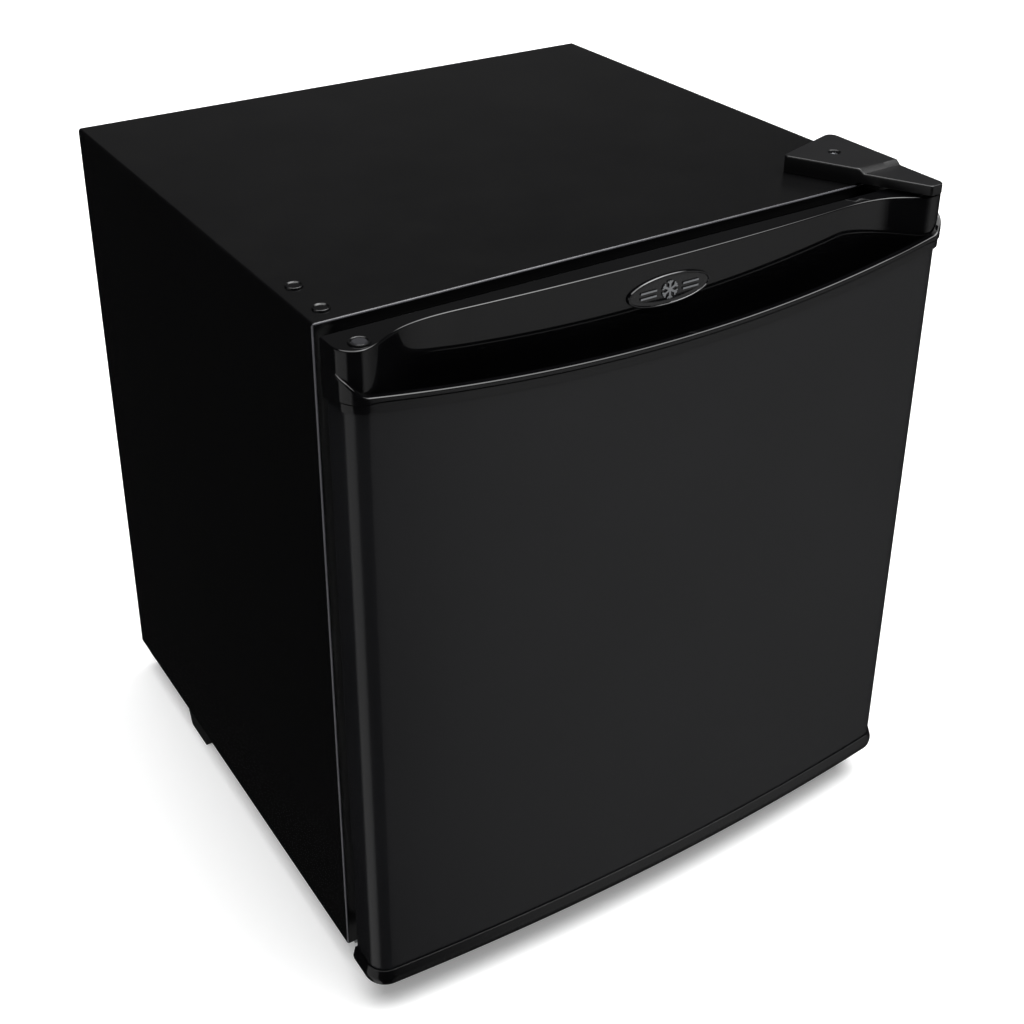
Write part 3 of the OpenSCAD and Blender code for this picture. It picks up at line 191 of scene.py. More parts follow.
class Shape:
    """Collects grids of points as quads and makes one mesh of them."""

    def __init__(self):
        self.points, self.faces, self.marks, self.count = [], [], [], 0

    def grid(self, points, around=True, along=False, ends=True, mark=0):
        """Rows of a (sections, ring, 3) grid joined as quads: around closes each ring, along closes the
        row of sections, and ends fills the first and last ring."""
        n, m = points.shape[:2]
        i = np.arange(n if along else n - 1)[:, None]
        j = np.arange(m if around else m - 1)[None, :]
        i2, j2 = (i + 1) % n, (j + 1) % m
        quads = np.stack(np.broadcast_arrays(i * m + j, i * m + j2, i2 * m + j2, i2 * m + j), -1).reshape(-1, 4)
        faces = (quads + self.count).tolist()
        if ends and around and not along:
            faces += [[self.count + x for x in range(m)][::-1], [self.count + (n - 1) * m + x for x in range(m)]]
        self.points.append(points.reshape(-1, 3))
        self.faces += faces
        self.marks += [mark] * len(faces)
        self.count += n * m
        return self

    def turned(self, at, profile, turns=48, mark=0):
        """A profile (radius, height) turned about an upright axis through at: closed at its poles."""
        a = np.linspace(0, 2 * np.pi, turns, endpoint=False)
        p = np.asarray(profile, float)
        ring = np.stack([p[None, :, 0] * np.cos(a)[:, None] + at[0], p[None, :, 0] * np.sin(a)[:, None] + at[1],
                         np.broadcast_to(p[None, :, 1] + at[2], (turns, len(p)))], -1)
        return self.grid(ring, around=False, along=True, ends=False, mark=mark)

    def object(self, name, body, materials, sharp=35.0, weld=2e-6, slot=None, replaces=()):
        """Makes the mesh, merges its seams and poles, turns its faces outwards, parents it to its body's empty and
        hides the solids it replaces.
        """
        mesh = bpy.data.meshes.new(name)
        mesh.from_pydata(place(np.vstack(self.points)).tolist(), [], self.faces)
        mesh.polygons.foreach_set("material_index", self.marks)
        bm = bmesh.new()
        bm.from_mesh(mesh)
        bmesh.ops.remove_doubles(bm, verts=bm.verts, dist=weld)
        bmesh.ops.dissolve_degenerate(bm, dist=1e-7, edges=bm.edges)
        bmesh.ops.recalc_face_normals(bm, faces=bm.faces)
        bm.to_mesh(mesh)
        bm.free()
        mesh.polygons.foreach_set("use_smooth", [True] * len(mesh.polygons))
        mesh.set_sharp_from_angle(angle=math.radians(sharp))
        piece = bpy.data.objects.new(name, mesh)
        bpy.context.scene.collection.objects.link(piece)
        for m in materials if isinstance(materials, (list, tuple)) else [materials]:
            mesh.materials.append(bpy.data.materials[m])
        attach(piece, body)
        if replaces:
            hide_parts(*replaces)
        return piece


def baked(piece, modifier):
    """Applies one modifier by taking the evaluated mesh, and keeps the materials."""
    graph = bpy.context.evaluated_depsgraph_get()
    mesh = bpy.data.meshes.new_from_object(piece.evaluated_get(graph))
    piece.modifiers.remove(modifier)
    old, piece.data = piece.data, mesh
    bpy.data.meshes.remove(old)
    return piece


# ---- Outlines of the door ----
class Door:
    """Plan curves and heights of the door, from the settings."""

    def __init__(self, s):
        self.corner, self.sag = s.corner / MM, s.sag / MM
        self.x = CAP_HALF - self.corner
        self.r = (self.x**2 + self.sag**2) / (2 * self.sag)
        self.cy = NOSE + self.r
        self.corner_y = self.cy - math.sqrt((self.r - self.corner) ** 2 - self.x**2)
        self.lip_z = HIGH - s.lip_drop / MM
        self.rise, self.trim = s.lip_rise / MM, s.trim / MM
        self.pocket = s.pocket / MM
        self.edge = s.edge / MM

    def outline(self, rear=None, bow=120, round_=22):
        """Left rear to right rear: straight side, corner arc, bow arc, and the same mirrored. The corner's
        centre lies where its arc touches the bow from inside, so the curve has no kink."""
        rear = REAR if rear is None else rear
        a = math.asin(self.x / (self.r - self.corner))
        side = np.stack([np.full(6, -CAP_HALF), np.linspace(rear, self.corner_y, 6)], -1)
        t = np.linspace(-np.pi / 2, -a, round_)[1:-1]
        arc = np.stack([-self.x + self.corner * np.sin(t), self.corner_y - self.corner * np.cos(t)], -1)
        t2 = np.linspace(-a, a, bow)
        front = np.stack([self.r * np.sin(t2), self.cy - self.r * np.cos(t2)], -1)
        n_side = np.tile([-1.0, 0.0], (6, 1))
        n_arc, n_front = (np.stack([np.sin(v), -np.cos(v)], -1) for v in (t, t2))
        flip = np.array([-1.0, 1.0])
        path = np.vstack([side, arc, front, arc[::-1] * flip, side[::-1] * flip])
        out = np.vstack([n_side, n_arc, n_front, n_arc[::-1] * flip, n_side[::-1] * flip])
        return path, out

    def front_y(self, x, inset=0.0):
        """The bow's front at x: centre minus the root of radius squared less x squared."""
        return self.cy - np.sqrt((self.r - inset) ** 2 - np.asarray(x, float) ** 2)

    def smile(self, x):
        """Height of the lip: a parabola that rises from the middle to the ends."""
        return self.lip_z + self.rise * (np.asarray(x, float) / 200) ** 2

    def wall(self):
        """Left rear to right rear along the cap's upper outline: down the side, round the post's nose, out of
        the flare and along the pocket's wall, which is concentric with the bow. A cubic B-spline."""
        side = [(-CAP_HALF + 1.2, REAR), (-CAP_HALF + 0.2, REAR - 0.6), (-CAP_HALF, REAR - 3), (-CAP_HALF, -22),
                (-CAP_HALF, -26.5), (-CAP_HALF + 0.2, -30.5), (-CAP_HALF + 1.3, -34.6), (-CAP_HALF + 4.0, -38.6),
                (-CAP_HALF + 8.4, -41.8), (-CAP_HALF + 13.3, -42.9), (-CAP_HALF + 18, -41.8), (-202.5, -39.5),
                (-196.3, -36.0), (-190, -32.3), (-182.5, -29.1), (-173.5, -27.0), (-163.5, -25.95)]
        x = -np.linspace(152, 0, 14)
        bowed = np.stack([x, self.front_y(x, self.pocket)], -1)
        left = np.vstack([side, bowed])
        return spline(np.vstack([left, left[-2::-1] * [-1, 1]]), per=7)


def fit_to_rear(path, rear):
    """Rear points that face a plan path: spread by arc length round the posts, straight behind the rest."""
    d = np.concatenate([[0], np.cumsum(np.linalg.norm(np.diff(path, axis=0), axis=1))])
    x, inner = path[:, 0], 186.0
    i = np.argmax(x > -inner)
    k = len(x) - i
    rx = x.copy()
    rx[:i] = np.interp(d[:i], [0, d[i]], [-CAP_HALF + 1.6, x[i]])
    rx[k:] = -rx[:len(rx) - k][::-1]
    return np.stack([rx, np.full(len(rx), rear)], -1)


# ---- Operators: door ----
def build_handle_cap(s):
    """Upper cap of the door in three closed bodies. The body's ring runs up the wall, over a quarter round,
    straight back along the top and down the rear. The lip's ring runs up the trim, out over a small step,
    over the round lip and down inside the pocket. The floor is a slab between them."""
    d = Door(s)
    shape = Shape()
    path = d.wall()
    out = normals(path)
    rear = fit_to_rear(path, REAR)
    y, x = path[:, 1], np.abs(path[:, 0])
    low = 437.4 - 6.0 * step(-y, 31.5, 35)
    low = np.where(x < 203, 431.4 - 26.5 * step(-x, -203, -196), low)
    low = np.where(x > CAP_HALF - 2.5, low + 7 * (1 - np.sqrt(1 - np.clip((y + 22) / 7, 0, 1) ** 2)), low)
    r, n = d.edge, len(path)
    t = np.linspace(0, np.pi / 2, 7)
    inset = np.concatenate([[0, 0], r - r * np.cos(t), [r + SUPPORT]])
    rise = np.concatenate([[-r - SUPPORT], -r + r * np.sin(t), [0]])
    z = np.concatenate([low[:, None], HIGH + np.tile(rise, (n, 1))], 1)
    wall = np.concatenate([path[:, None, :] - out[:, None, :] * inset[None, :, None], z[..., None]], -1)
    back = np.stack([np.column_stack([rear[:, 0], rear[:, 1] + dy, zz]) for dy, zz in (
        (-1.06, np.full(n, HIGH)), (-1.0, np.full(n, HIGH)), (-0.3, np.full(n, HIGH - 0.3)), (0, np.full(n, HIGH - 1)),
        (0, np.full(n, HIGH - 1.06)), (0, low))], 1)
    shape.grid(np.concatenate([wall, back], 1))

    path, out = d.outline()
    x, y = np.abs(path[:, 0]), path[:, 1]
    smile = d.smile(np.minimum(x, d.x))
    turn = np.degrees(np.arctan2(x - d.x, np.maximum(d.corner_y - y, 1e-6)))
    turn = np.where(x < d.x, 0, np.where(y > d.corner_y, 90, turn))
    top = smile + np.interp(turn, [0, 12, 24, 40, 60, 90], [0, 0.4, 1.9, 5.4, 9.4, 13.0])
    under = np.minimum(smile - 2.9, 437.3)
    bottom = np.minimum(smile - d.trim, 431.2)
    hide = np.where(y > d.corner_y + 2, 0.5, 0.0)
    pit = np.where(x < 204, HIGH - 63.3, 432.4)
    cols = [(0.8, bottom), (0.8, under - 0.8), (1.9, under - 0.8), (1.9, under), (hide, under), (hide, top), (5.5, top), (5.5, pit), (4.3, pit),
            (4.3, bottom + 0.01)]
    corners = np.stack([np.column_stack([np.broadcast_to(a, x.shape), b]) for a, b in cols], 1)
    shape.grid(swept(path, out, rounded((corners, [0.4, 0.2, 0, 0, 0.45, d.edge + 0.2, d.edge, 0, 0, 0]))))

    wall = d.wall()
    keep = np.abs(wall[:, 0]) < 200
    wx, wy = wall[keep, 0], wall[keep, 1] + 0.6
    fy = d.front_y(wx, 5.2)
    zf = HIGH - 60.8
    ring = [(fy, zf), (fy + 2.5, zf - 0.0), ((wy + fy) / 2, zf - 0.6), (wy - 2, zf), (wy, zf), (wy, zf - 2), (fy, zf - 2)]
    shape.grid(np.stack([np.column_stack([wx, a, np.full(len(wx), 1.0) * b]) for a, b in ring], 1))
    return shape.object("handle_cap", "door", "gloss_black", slot="gloss_black", replaces=["door_top_cap"])


def build_foot_cap(s):
    """Lower cap: a bulged profile carried round the door's outline, each ring closed along the rear."""
    d = Door(s)
    path, out = d.outline()
    rear = fit_to_rear(path, REAR)
    profile = rounded((np.array([(30, 0), (3.0, 0), (0.9, 2.2), (0, 6.8), (1.9, 13.3), (30, 13.3)]),
                       [0, 1.4, 2.5, 6, 0.25, 0]), closed=False)[1:-1]
    outer = swept(path, out, profile)
    lo, hi = (np.column_stack([rear, np.full(len(rear), z)]) for z in (0.0, 13.4))
    ring = np.concatenate([outer, hi[:, None], lo[:, None]], 1)
    return Shape().grid(ring).object("foot_cap", "door", "gloss_black", slot="gloss_black", replaces=["door_bottom_cap"])


def build_door_skin(s):
    """Coated sheet of the door: the outline drawn in by 3, carried from the lower cap to behind the trim, with
    a narrow rounded return along the rear of each side."""
    d = Door(s)
    path, out = d.outline(rear=REAR - 1.6)
    x = np.abs(path[:, 0])
    top = np.minimum(d.smile(np.minimum(x, d.x)) - d.trim, 431.2) + 4
    t = np.linspace(0, np.pi / 2, 6)[1:]
    turn = np.stack([-CAP_HALF + 1.6 - 1.6 * np.cos(t), REAR - 1.6 + 1.6 * np.sin(t)], -1)
    flat = np.array([[-CAP_HALF + 3.2, REAR], [-CAP_HALF + 20, REAR]])
    nt = np.stack([-np.cos(t), np.sin(t)], -1)
    head, n_head = np.vstack([turn, flat])[::-1], np.vstack([nt, [[0, 1]] * 2])[::-1]
    flip = np.array([-1.0, 1.0])
    shift = np.array([3.0, 0.0])
    path = np.vstack([head + shift - n_head * [0, 0] , path, (head[::-1] * flip) - shift])
    out = np.vstack([n_head, out, n_head[::-1] * flip])
    top = np.concatenate([np.full(len(head), top[0]), top, np.full(len(head), top[0])])
    n0 = len(head)
    inset = np.zeros(len(path)) + 3.0
    inset[:n0] = 0
    inset[-n0:] = 0
    n = len(path)
    cols = [(inset, np.full(n, 12.9)), (inset, top - 0.3), (inset + 0.9, top - 0.3), (inset + 0.9, np.full(n, 12.9))]
    ring = np.stack([np.column_stack(c) for c in cols], 1)
    rows = np.linspace(0, 1, 9)
    outer = ring[:, :1] + (ring[:, 1:2] - ring[:, :1]) * rows[None, :, None]
    inner = ring[:, 2:3] + (ring[:, 3:4] - ring[:, 2:3]) * rows[None, :, None]
    shape = Shape().grid(swept(path, out, np.concatenate([outer, inner], 1)))
    return shape.object("door_sheet", "door", "door_paint", slot="door_paint", replaces=["door_skin"])


def build_badge(s):
    """Oval plate on the pocket's wall: an ellipse whose inset and height follow a bead, then a shallow dome."""
    d = Door(s)
    lo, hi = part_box("badge_plate")
    a, b = (hi.x - lo.x) / 2 / MM, (hi.z - lo.z) / 2 / MM
    cz, wall = ((lo.z + hi.z) / 2 - BASE) / MM, d.front_y(0, d.pocket)
    t = np.linspace(0, 2 * np.pi, 96, endpoint=False)
    bead = np.array([(0.0, -0.9), (0.0, 0.5), (0.15, 1.05), (0.5, 1.45), (0.95, 1.55), (1.4, 1.42), (1.7, 1.0), (1.85, 0.62)])
    dish = np.array([(1.85, 0.62), (2.6, 0.5), (4.5, 0.56), (7.0, 0.6), (10.4, 0.62)])

    def rings(profile):
        w = profile[None, :, 0]
        return np.stack([(a - w * np.where(w > 8, a / b, 1)) * np.cos(t)[:, None], np.broadcast_to(
            wall - profile[None, :, 1], (len(t), len(profile))), cz + (b - w) * np.sin(t)[:, None]], -1)

    shape = Shape().grid(rings(bead), around=False, along=True)
    disc = rings(np.vstack([dish, [(b, 0.62)]]))
    disc[:, -1] = [0, wall - 0.62, cz]
    shape.grid(disc, around=False, along=True)
    back = rings(np.array([(0.0, -0.9), (b, -0.9)]))
    back[:, -1] = [0, wall + 0.9, cz]
    shape.grid(back[:, ::-1], around=False, along=True)
    return shape.object("badge_oval", "door", ["badge_black", "badge_silver"], slot="badge_black", replaces=["badge_plate"])


def ring_path(half, z0, z1, radius, insets, per=8):
    """Closed rounded rectangle in X and Z at several insets: each corner's centre lies max(radius, inset) in
    from both sides, and its radius is max(radius - inset, 0), so deep insets end in a mitre."""
    n = np.asarray(insets, float)
    c, r = np.maximum(radius, n), np.maximum(radius - n, 0)
    rows = []
    for a0, sx, sz in ((0, 1, 1), (90, -1, 1), (180, -1, -1), (270, 1, -1)):
        a = np.radians(np.linspace(a0, a0 + 90, per))[:, None]
        cx, cz = sx * (half - c), (z1 - c if sz > 0 else z0 + c)
        rows.append(np.stack([cx + r * np.cos(a), cz + r * np.sin(a)], -1))
    return np.vstack(rows)


def build_seal(s):
    """Magnetic seal: a bellows profile (inset, depth) carried round a rounded rectangle."""
    lo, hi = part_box("door_gasket")
    half, z0, z1 = hi.x / MM, (lo.z - BASE) / MM, (hi.z - BASE) / MM
    y0, y1 = (lo.y - FRONT) / MM, (hi.y - FRONT) / MM
    h = y1 - y0
    pts = np.array([(0.6, 0), (0, 0.14), (2.6, 0.27), (2.6, 0.36), (0, 0.5), (0, 1), (16.4, 1), (16.4, 0.62),
                    (13.2, 0.5), (13.2, 0)]) * [1, h] + [0, y0]
    prof = rounded((pts, [0.3, 0.8, 0.7, 0.7, 0.9, 1.0, 1.0, 1.2, 1.0, 0.3]), steps=4)
    ring = ring_path(half, z0, z1, 10, prof[:, 0])
    points = np.stack([ring[..., 0], np.broadcast_to(prof[:, 1], ring.shape[:2]), ring[..., 1]], -1)
    return Shape().grid(points, along=True, ends=False).object(
        "seal_bellows", "door", "seal_vinyl", slot="seal_vinyl", replaces=["door_gasket"])


# ---- Operators: cabinet ----
def build_cabinet(s):
    """Folded sheet of the cabinet: a closed profile (inset, depth) with a rounded front fold and back fold,
    carried up one side, over the top and down the other. Deep insets end in mitred corners."""
    f = s.fold / MM
    pts = np.array([(12, DEEP), (0, DEEP), (0, 0), (24, 0), (24, 0.8), (0.8, 0.8), (0.8, DEEP - 0.8), (12, DEEP - 0.8)])
    prof = rounded((pts, [0, 1.4, f, 0.3, 0.3, f - 0.8, 0.6, 0]))
    n = prof[:, 0]
    rows = [np.stack([np.full_like(n, -HALF + 26), n], -1)[None]]
    for a0, a1, sx, top, radius in ((270, 180, -1, False, 1.5), (180, 90, -1, True, 2.5), (90, 0, 1, True, 2.5), (0, -90, 1, False, 1.5)):
        a = np.radians(np.linspace(a0, a1, 7))[:, None]
        c, r = np.maximum(radius, n), np.maximum(radius - n, 0)
        rows.append(np.stack([sx * (HALF - c) + r * np.cos(a), (HIGH - c if top else c) + r * np.sin(a)], -1))
    rows.append(np.stack([np.full_like(n, HALF - 26), n], -1)[None])
    ring = np.vstack(rows)
    points = np.stack([ring[..., 0], np.broadcast_to(prof[:, 1], ring.shape[:2]), ring[..., 1]], -1)
    piece = Shape().grid(points).object("cabinet_wrap", "cabinet", "cabinet_paint", slot="cabinet_paint",
                                        replaces=["cabinet_shell"])
    mesh = piece.data
    co = np.zeros(len(mesh.vertices) * 3)
    mesh.vertices.foreach_get("co", co)
    co = (co.reshape(-1, 3) - [0, FRONT, BASE]) / MM
    # Painted highlight: the fold mask picks out a thin line along the rounded front fold of the top and sides, which
    # the cabinet paint lightens to a pale grey under any light.
    side = np.maximum.reduce([np.abs(co[:, 0]) - (HALF - f), co[:, 2] - (HIGH - f)]) / f
    edge = (1 - step(np.abs(co[:, 1] - 0.3 * f), 0.15 * f, 0.6 * f)) * step(side, 0.1, 0.6)
    mesh.attributes.new("fold", "FLOAT", "POINT").data.foreach_set("value", edge.astype(np.float32))
    return piece


def build_top_plugs(s):
    """Round plugs in the spare hinge holes of the top: a beaded rim round a shallow dish, turned."""
    lo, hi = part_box("hinge_hole_plugs")
    x = (lo.x + hi.x) / 2 / MM
    y0, y1 = (lo.y - FRONT) / MM + 5.5, (hi.y - FRONT) / MM - 5.5
    profile = [(0, 0.55), (2.6, 0.55), (3.9, 0.62), (4.4, 1.0), (4.8, 1.25), (5.15, 1.1), (5.35, 0.7), (5.4, 0.05), (5.4, -0.6), (0, -0.6)]
    shape = Shape()
    for y in (y0, y1):
        shape.turned((x, y, HIGH), profile)
    return shape.object("top_plugs", "cabinet", "plug_black", slot="black_plastic", replaces=["hinge_hole_plugs"])


def build_spare_plug(s):
    """Plug of the spare hinge hole in the door's cap: a collar, a groove and a pale polished button."""
    profile = [(6.5, -6), (6.5, 0.3), (6.1, 0.85), (5.5, 1.0), (4.9, 0.75), (4.6, 0.2)]
    button = [(4.6, 0.2), (4.3, 0.35), (3.9, 0.95), (3.2, 1.15), (1.6, 1.22), (0, 1.24)]
    shape = Shape().turned((-HINGE_X, HINGE_Y, HIGH), profile).turned((-HINGE_X, HINGE_Y, HIGH), button, mark=1)
    shape.turned((-HINGE_X, HINGE_Y, HIGH), [(0, -6), (6.5, -6)])
    shape.turned((-HINGE_X, HINGE_Y, 0), [(0, -0.2), (4.2, -0.2), (5.6, 0.0), (6.2, 0.6), (6.2, 8), (0, 8)])
    return shape.object("door_plugs", "door", ["plug_black", "plug_pale"], slot="plug_grey", replaces=["spare_hole_plug"])


def build_hinge_cover(s):
    """Cover over the top hinge: a rounded wedge in plan. Rings step in from its foot, over a quarter round and
    on to a spine, at a height that falls in a soft crease towards the tip. A screw well is cut into it."""
    lo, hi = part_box("top_hinge_cover")
    top = (hi.z - BASE) / MM
    plan = rounded((np.array([(156.8, 46.9), (205.0, -45.6), (217.8, -45.6), (218.4, 66.0)]), [3.5, 3.0, 9.0, 6.0]), steps=10)
    seg = np.linalg.norm(np.roll(plan, -1, 0) - plan, axis=1)
    d = np.concatenate([[0], np.cumsum(seg)])
    u = np.sort(np.concatenate([d[:-1], np.linspace(0, d[-1], 170, endpoint=False)]))
    u = u[np.concatenate([[True], np.diff(u) > 0.02])]
    plan = np.stack([np.interp(u, d, np.append(plan[:, i], plan[0, i])) for i in (0, 1)], -1)
    g = np.roll(plan, -1, 0) - np.roll(plan, 1, 0)
    out = np.stack([g[:, 1], -g[:, 0]], -1)
    out /= np.linalg.norm(out, axis=1)[:, None]
    r = 1.2

    def height(y):
        return top - 3.0 * step(-y, 0.2, 4.2)

    def foot(y):
        return HIGH + 0.35 + 1.7 * step(-y, -1, 1.2)

    t = np.linspace(0, np.pi / 2, 8)
    rows = [(0.25, foot, 0.0), (0.0, foot, 0.5), (0.0, height, -r - SUPPORT)]
    rows += [(r - r * math.cos(a), height, -r + r * math.sin(a)) for a in t] + [(r + SUPPORT, height, 0)]
    ring = []
    for inset, base, dz in rows:
        xy = plan - out * inset
        ring.append(np.column_stack([xy, base(xy[:, 1]) + dz]))
    edge = ring[-1][:, :2]
    y = np.clip(edge[:, 1], -43, 50)
    spine = np.stack([np.interp(y, [-43, 50], [212.0, 196.0]), y], -1)
    for k in np.linspace(0, 1, 22)[1:]:
        xy = edge + (spine - edge) * k
        ring.append(np.column_stack([xy, height(xy[:, 1])]))
    ring.append(np.column_stack([spine, foot(spine[:, 1])]))
    grid = np.stack(ring, 1)
    cover = Shape().grid(grid, along=True, ends=False).object(
        "hinge_cover", "cabinet", "cover_black", slot="cover_black", replaces=["top_hinge_cover"], sharp=28)
    a = np.linspace(0, 2 * np.pi, 40, endpoint=False)
    x, y = 191.4, 32.8
    well = [(0, -3.2), (4.0, -3.2), (4.15, -2.9), (4.3, -0.5), (4.9, 0.05), (4.9, 3), (0, 3)]
    tool = Shape().turned((x, y, top), well).object("well_tool", "cabinet", "cover_black")
    cut = cover.modifiers.new("well", "BOOLEAN")
    cut.operation, cut.solver, cut.object = "DIFFERENCE", "EXACT", tool
    baked(cover, cut)
    bpy.data.objects.remove(tool)
    cover.data.set_sharp_from_angle(angle=math.radians(28))
    shape = Shape().turned((x, y, top - 3.2), [(3.7, -2), (3.7, 0.6), (3.4, 1.2), (2.6, 1.55), (1.6, 1.7), (1.5, 0.7), (0, 0.7)])
    shape.turned((x, y, top - 3.2), [(0, -2), (3.7, -2)])
    shape.object("cover_screw", "cabinet", "zinc", slot="zinc_fixings", replaces=["hinge_cover_screw"])
    return cover


# ---- Shared effects ----
def group(name, inputs, outputs):
    """Empty node group with the named sockets; returns it with its two ends."""
    g = bpy.data.node_groups.new(name, "ShaderNodeTree")
    for direction, sockets in (("INPUT", inputs), ("OUTPUT", outputs)):
        for label, kind, value in sockets:
            s = g.interface.new_socket(label, in_out=direction, socket_type="NodeSocket" + kind)
            if value is not None:
                s.default_value = value
    return g, g.nodes.new("NodeGroupInput"), g.nodes.new("NodeGroupOutput")


class Nodes:
    """Short forms for adding nodes to one tree: a socket links, anything else is set as the value."""

    def __init__(self, tree):
        self.tree = tree

    def add(self, kind, inputs=(), **options):
        node = self.tree.nodes.new("ShaderNode" + kind)
        for key, value in options.items():
            setattr(node, key, value)
        for key, value in dict(inputs).items():
            self.join(value, node.inputs[key])
        return node

    def join(self, value, socket):
        if isinstance(value, bpy.types.NodeSocket):
            self.tree.links.new(value, socket)
        else:
            socket.default_value = value

    def math(self, operation, a, b=0.0, c=0.0, clamp=False):
        node = self.tree.nodes.new("ShaderNodeMath")
        node.operation, node.use_clamp = operation, clamp
        for value, socket in zip((a, b, c), node.inputs):
            self.join(value, socket)
        return node.outputs[0]

    def ramp(self, value, lo, hi, to_lo=0.0, to_hi=1.0):
        return self.add("MapRange", {0: value, 1: lo, 2: hi, 3: to_lo, 4: to_hi}, interpolation_type="SMOOTHSTEP").outputs[0]

    def mix(self, factor, a, b):
        node = self.add("Mix", data_type="RGBA")
        for value, k in ((factor, 0), (a, 6), (b, 7)):
            self.join(value, node.inputs[k])
        return node.outputs[2]

    def noise(self, vector, scale, detail=3.0, rough=0.55):
        return self.add("TexNoise", {"Vector": vector, "Scale": scale, "Detail": detail, "Roughness": rough}).outputs["Fac"]


def shared_groups():
    """Grain: fine noise and a slower ripple, as a height. Wear: rubbed edges from the angle between the true
    and the rounded normal, broken by noise. Dust: settles where faces look up, in drifts. Touch: wiped and
    handled patches, as a signed change of roughness. Spangle: crystals of a zinc coating."""
    g, i, o = group("Grain", [("Vector", "Vector", None), ("Scale", "Float", 900.0), ("Ripple", "Float", 0.3)],
                    [("Height", "Float", None)])
    n = Nodes(g)
    fine = n.noise(i.outputs[0], i.outputs[1], 2.0)
    slow = n.noise(i.outputs[0], n.math("MULTIPLY", i.outputs[1], 0.04), 2.0)
    n.join(n.math("ADD", fine, n.math("MULTIPLY", slow, i.outputs[2])), o.inputs[0])

    g, i, o = group("Wear", [("Vector", "Vector", None), ("Radius", "Float", 0.0008), ("Amount", "Float", 0.5)],
                    [("Mask", "Float", None)])
    n = Nodes(g)
    soft = n.add("Bevel", {"Radius": i.outputs[1]}, samples=4)
    plain = n.add("NewGeometry")
    same = n.add("VectorMath", {0: soft.outputs[0], 1: plain.outputs["Normal"]}, operation="DOT_PRODUCT")
    edge = n.ramp(same.outputs["Value"], 0.995, 0.86)
    broken = n.ramp(n.noise(i.outputs[0], 160.0, 5.0, 0.7), 0.42, 0.62)
    n.join(n.math("MULTIPLY", n.math("MULTIPLY", edge, broken), i.outputs[2], clamp=True), o.inputs[0])

    g, i, o = group("Dust", [("Vector", "Vector", None), ("Amount", "Float", 0.2)], [("Mask", "Float", None)])
    n = Nodes(g)
    up = n.add("SeparateXYZ", {0: n.add("NewGeometry").outputs["Normal"]}).outputs[2]
    drift = n.math("ADD", n.ramp(n.noise(i.outputs[0], 14.0, 6.0, 0.7), 0.35, 0.75),
                   n.ramp(n.noise(i.outputs[0], 700.0, 2.0), 0.62, 0.75))
    n.join(n.math("MULTIPLY", n.math("MULTIPLY", n.ramp(up, 0.3, 1.0), drift), i.outputs[1], clamp=True), o.inputs[0])

    g, i, o = group("Touch", [("Vector", "Vector", None), ("Roughness", "Float", 0.4), ("Amount", "Float", 0.06)],
                    [("Roughness", "Float", None)])
    n = Nodes(g)
    broad = n.math("SUBTRACT", n.noise(i.outputs[0], 7.0, 5.0, 0.6), 0.5)
    small = n.math("SUBTRACT", n.noise(i.outputs[0], 60.0, 4.0, 0.6), 0.5)
    change = n.math("MULTIPLY", n.math("ADD", broad, n.math("MULTIPLY", small, 0.5)), n.math("MULTIPLY", i.outputs[2], 2.0))
    n.join(n.math("ADD", i.outputs[1], change, clamp=True), o.inputs[0])

    g, i, o = group("Spangle", [("Vector", "Vector", None), ("Scale", "Float", 90.0)], [("Value", "Float", None)])
    n = Nodes(g)
    cell = n.add("TexVoronoi", {"Vector": i.outputs[0], "Scale": i.outputs[1]}, feature="F1")
    n.join(n.add("SeparateColor", {0: cell.outputs["Color"]}).outputs[0], o.inputs[0])


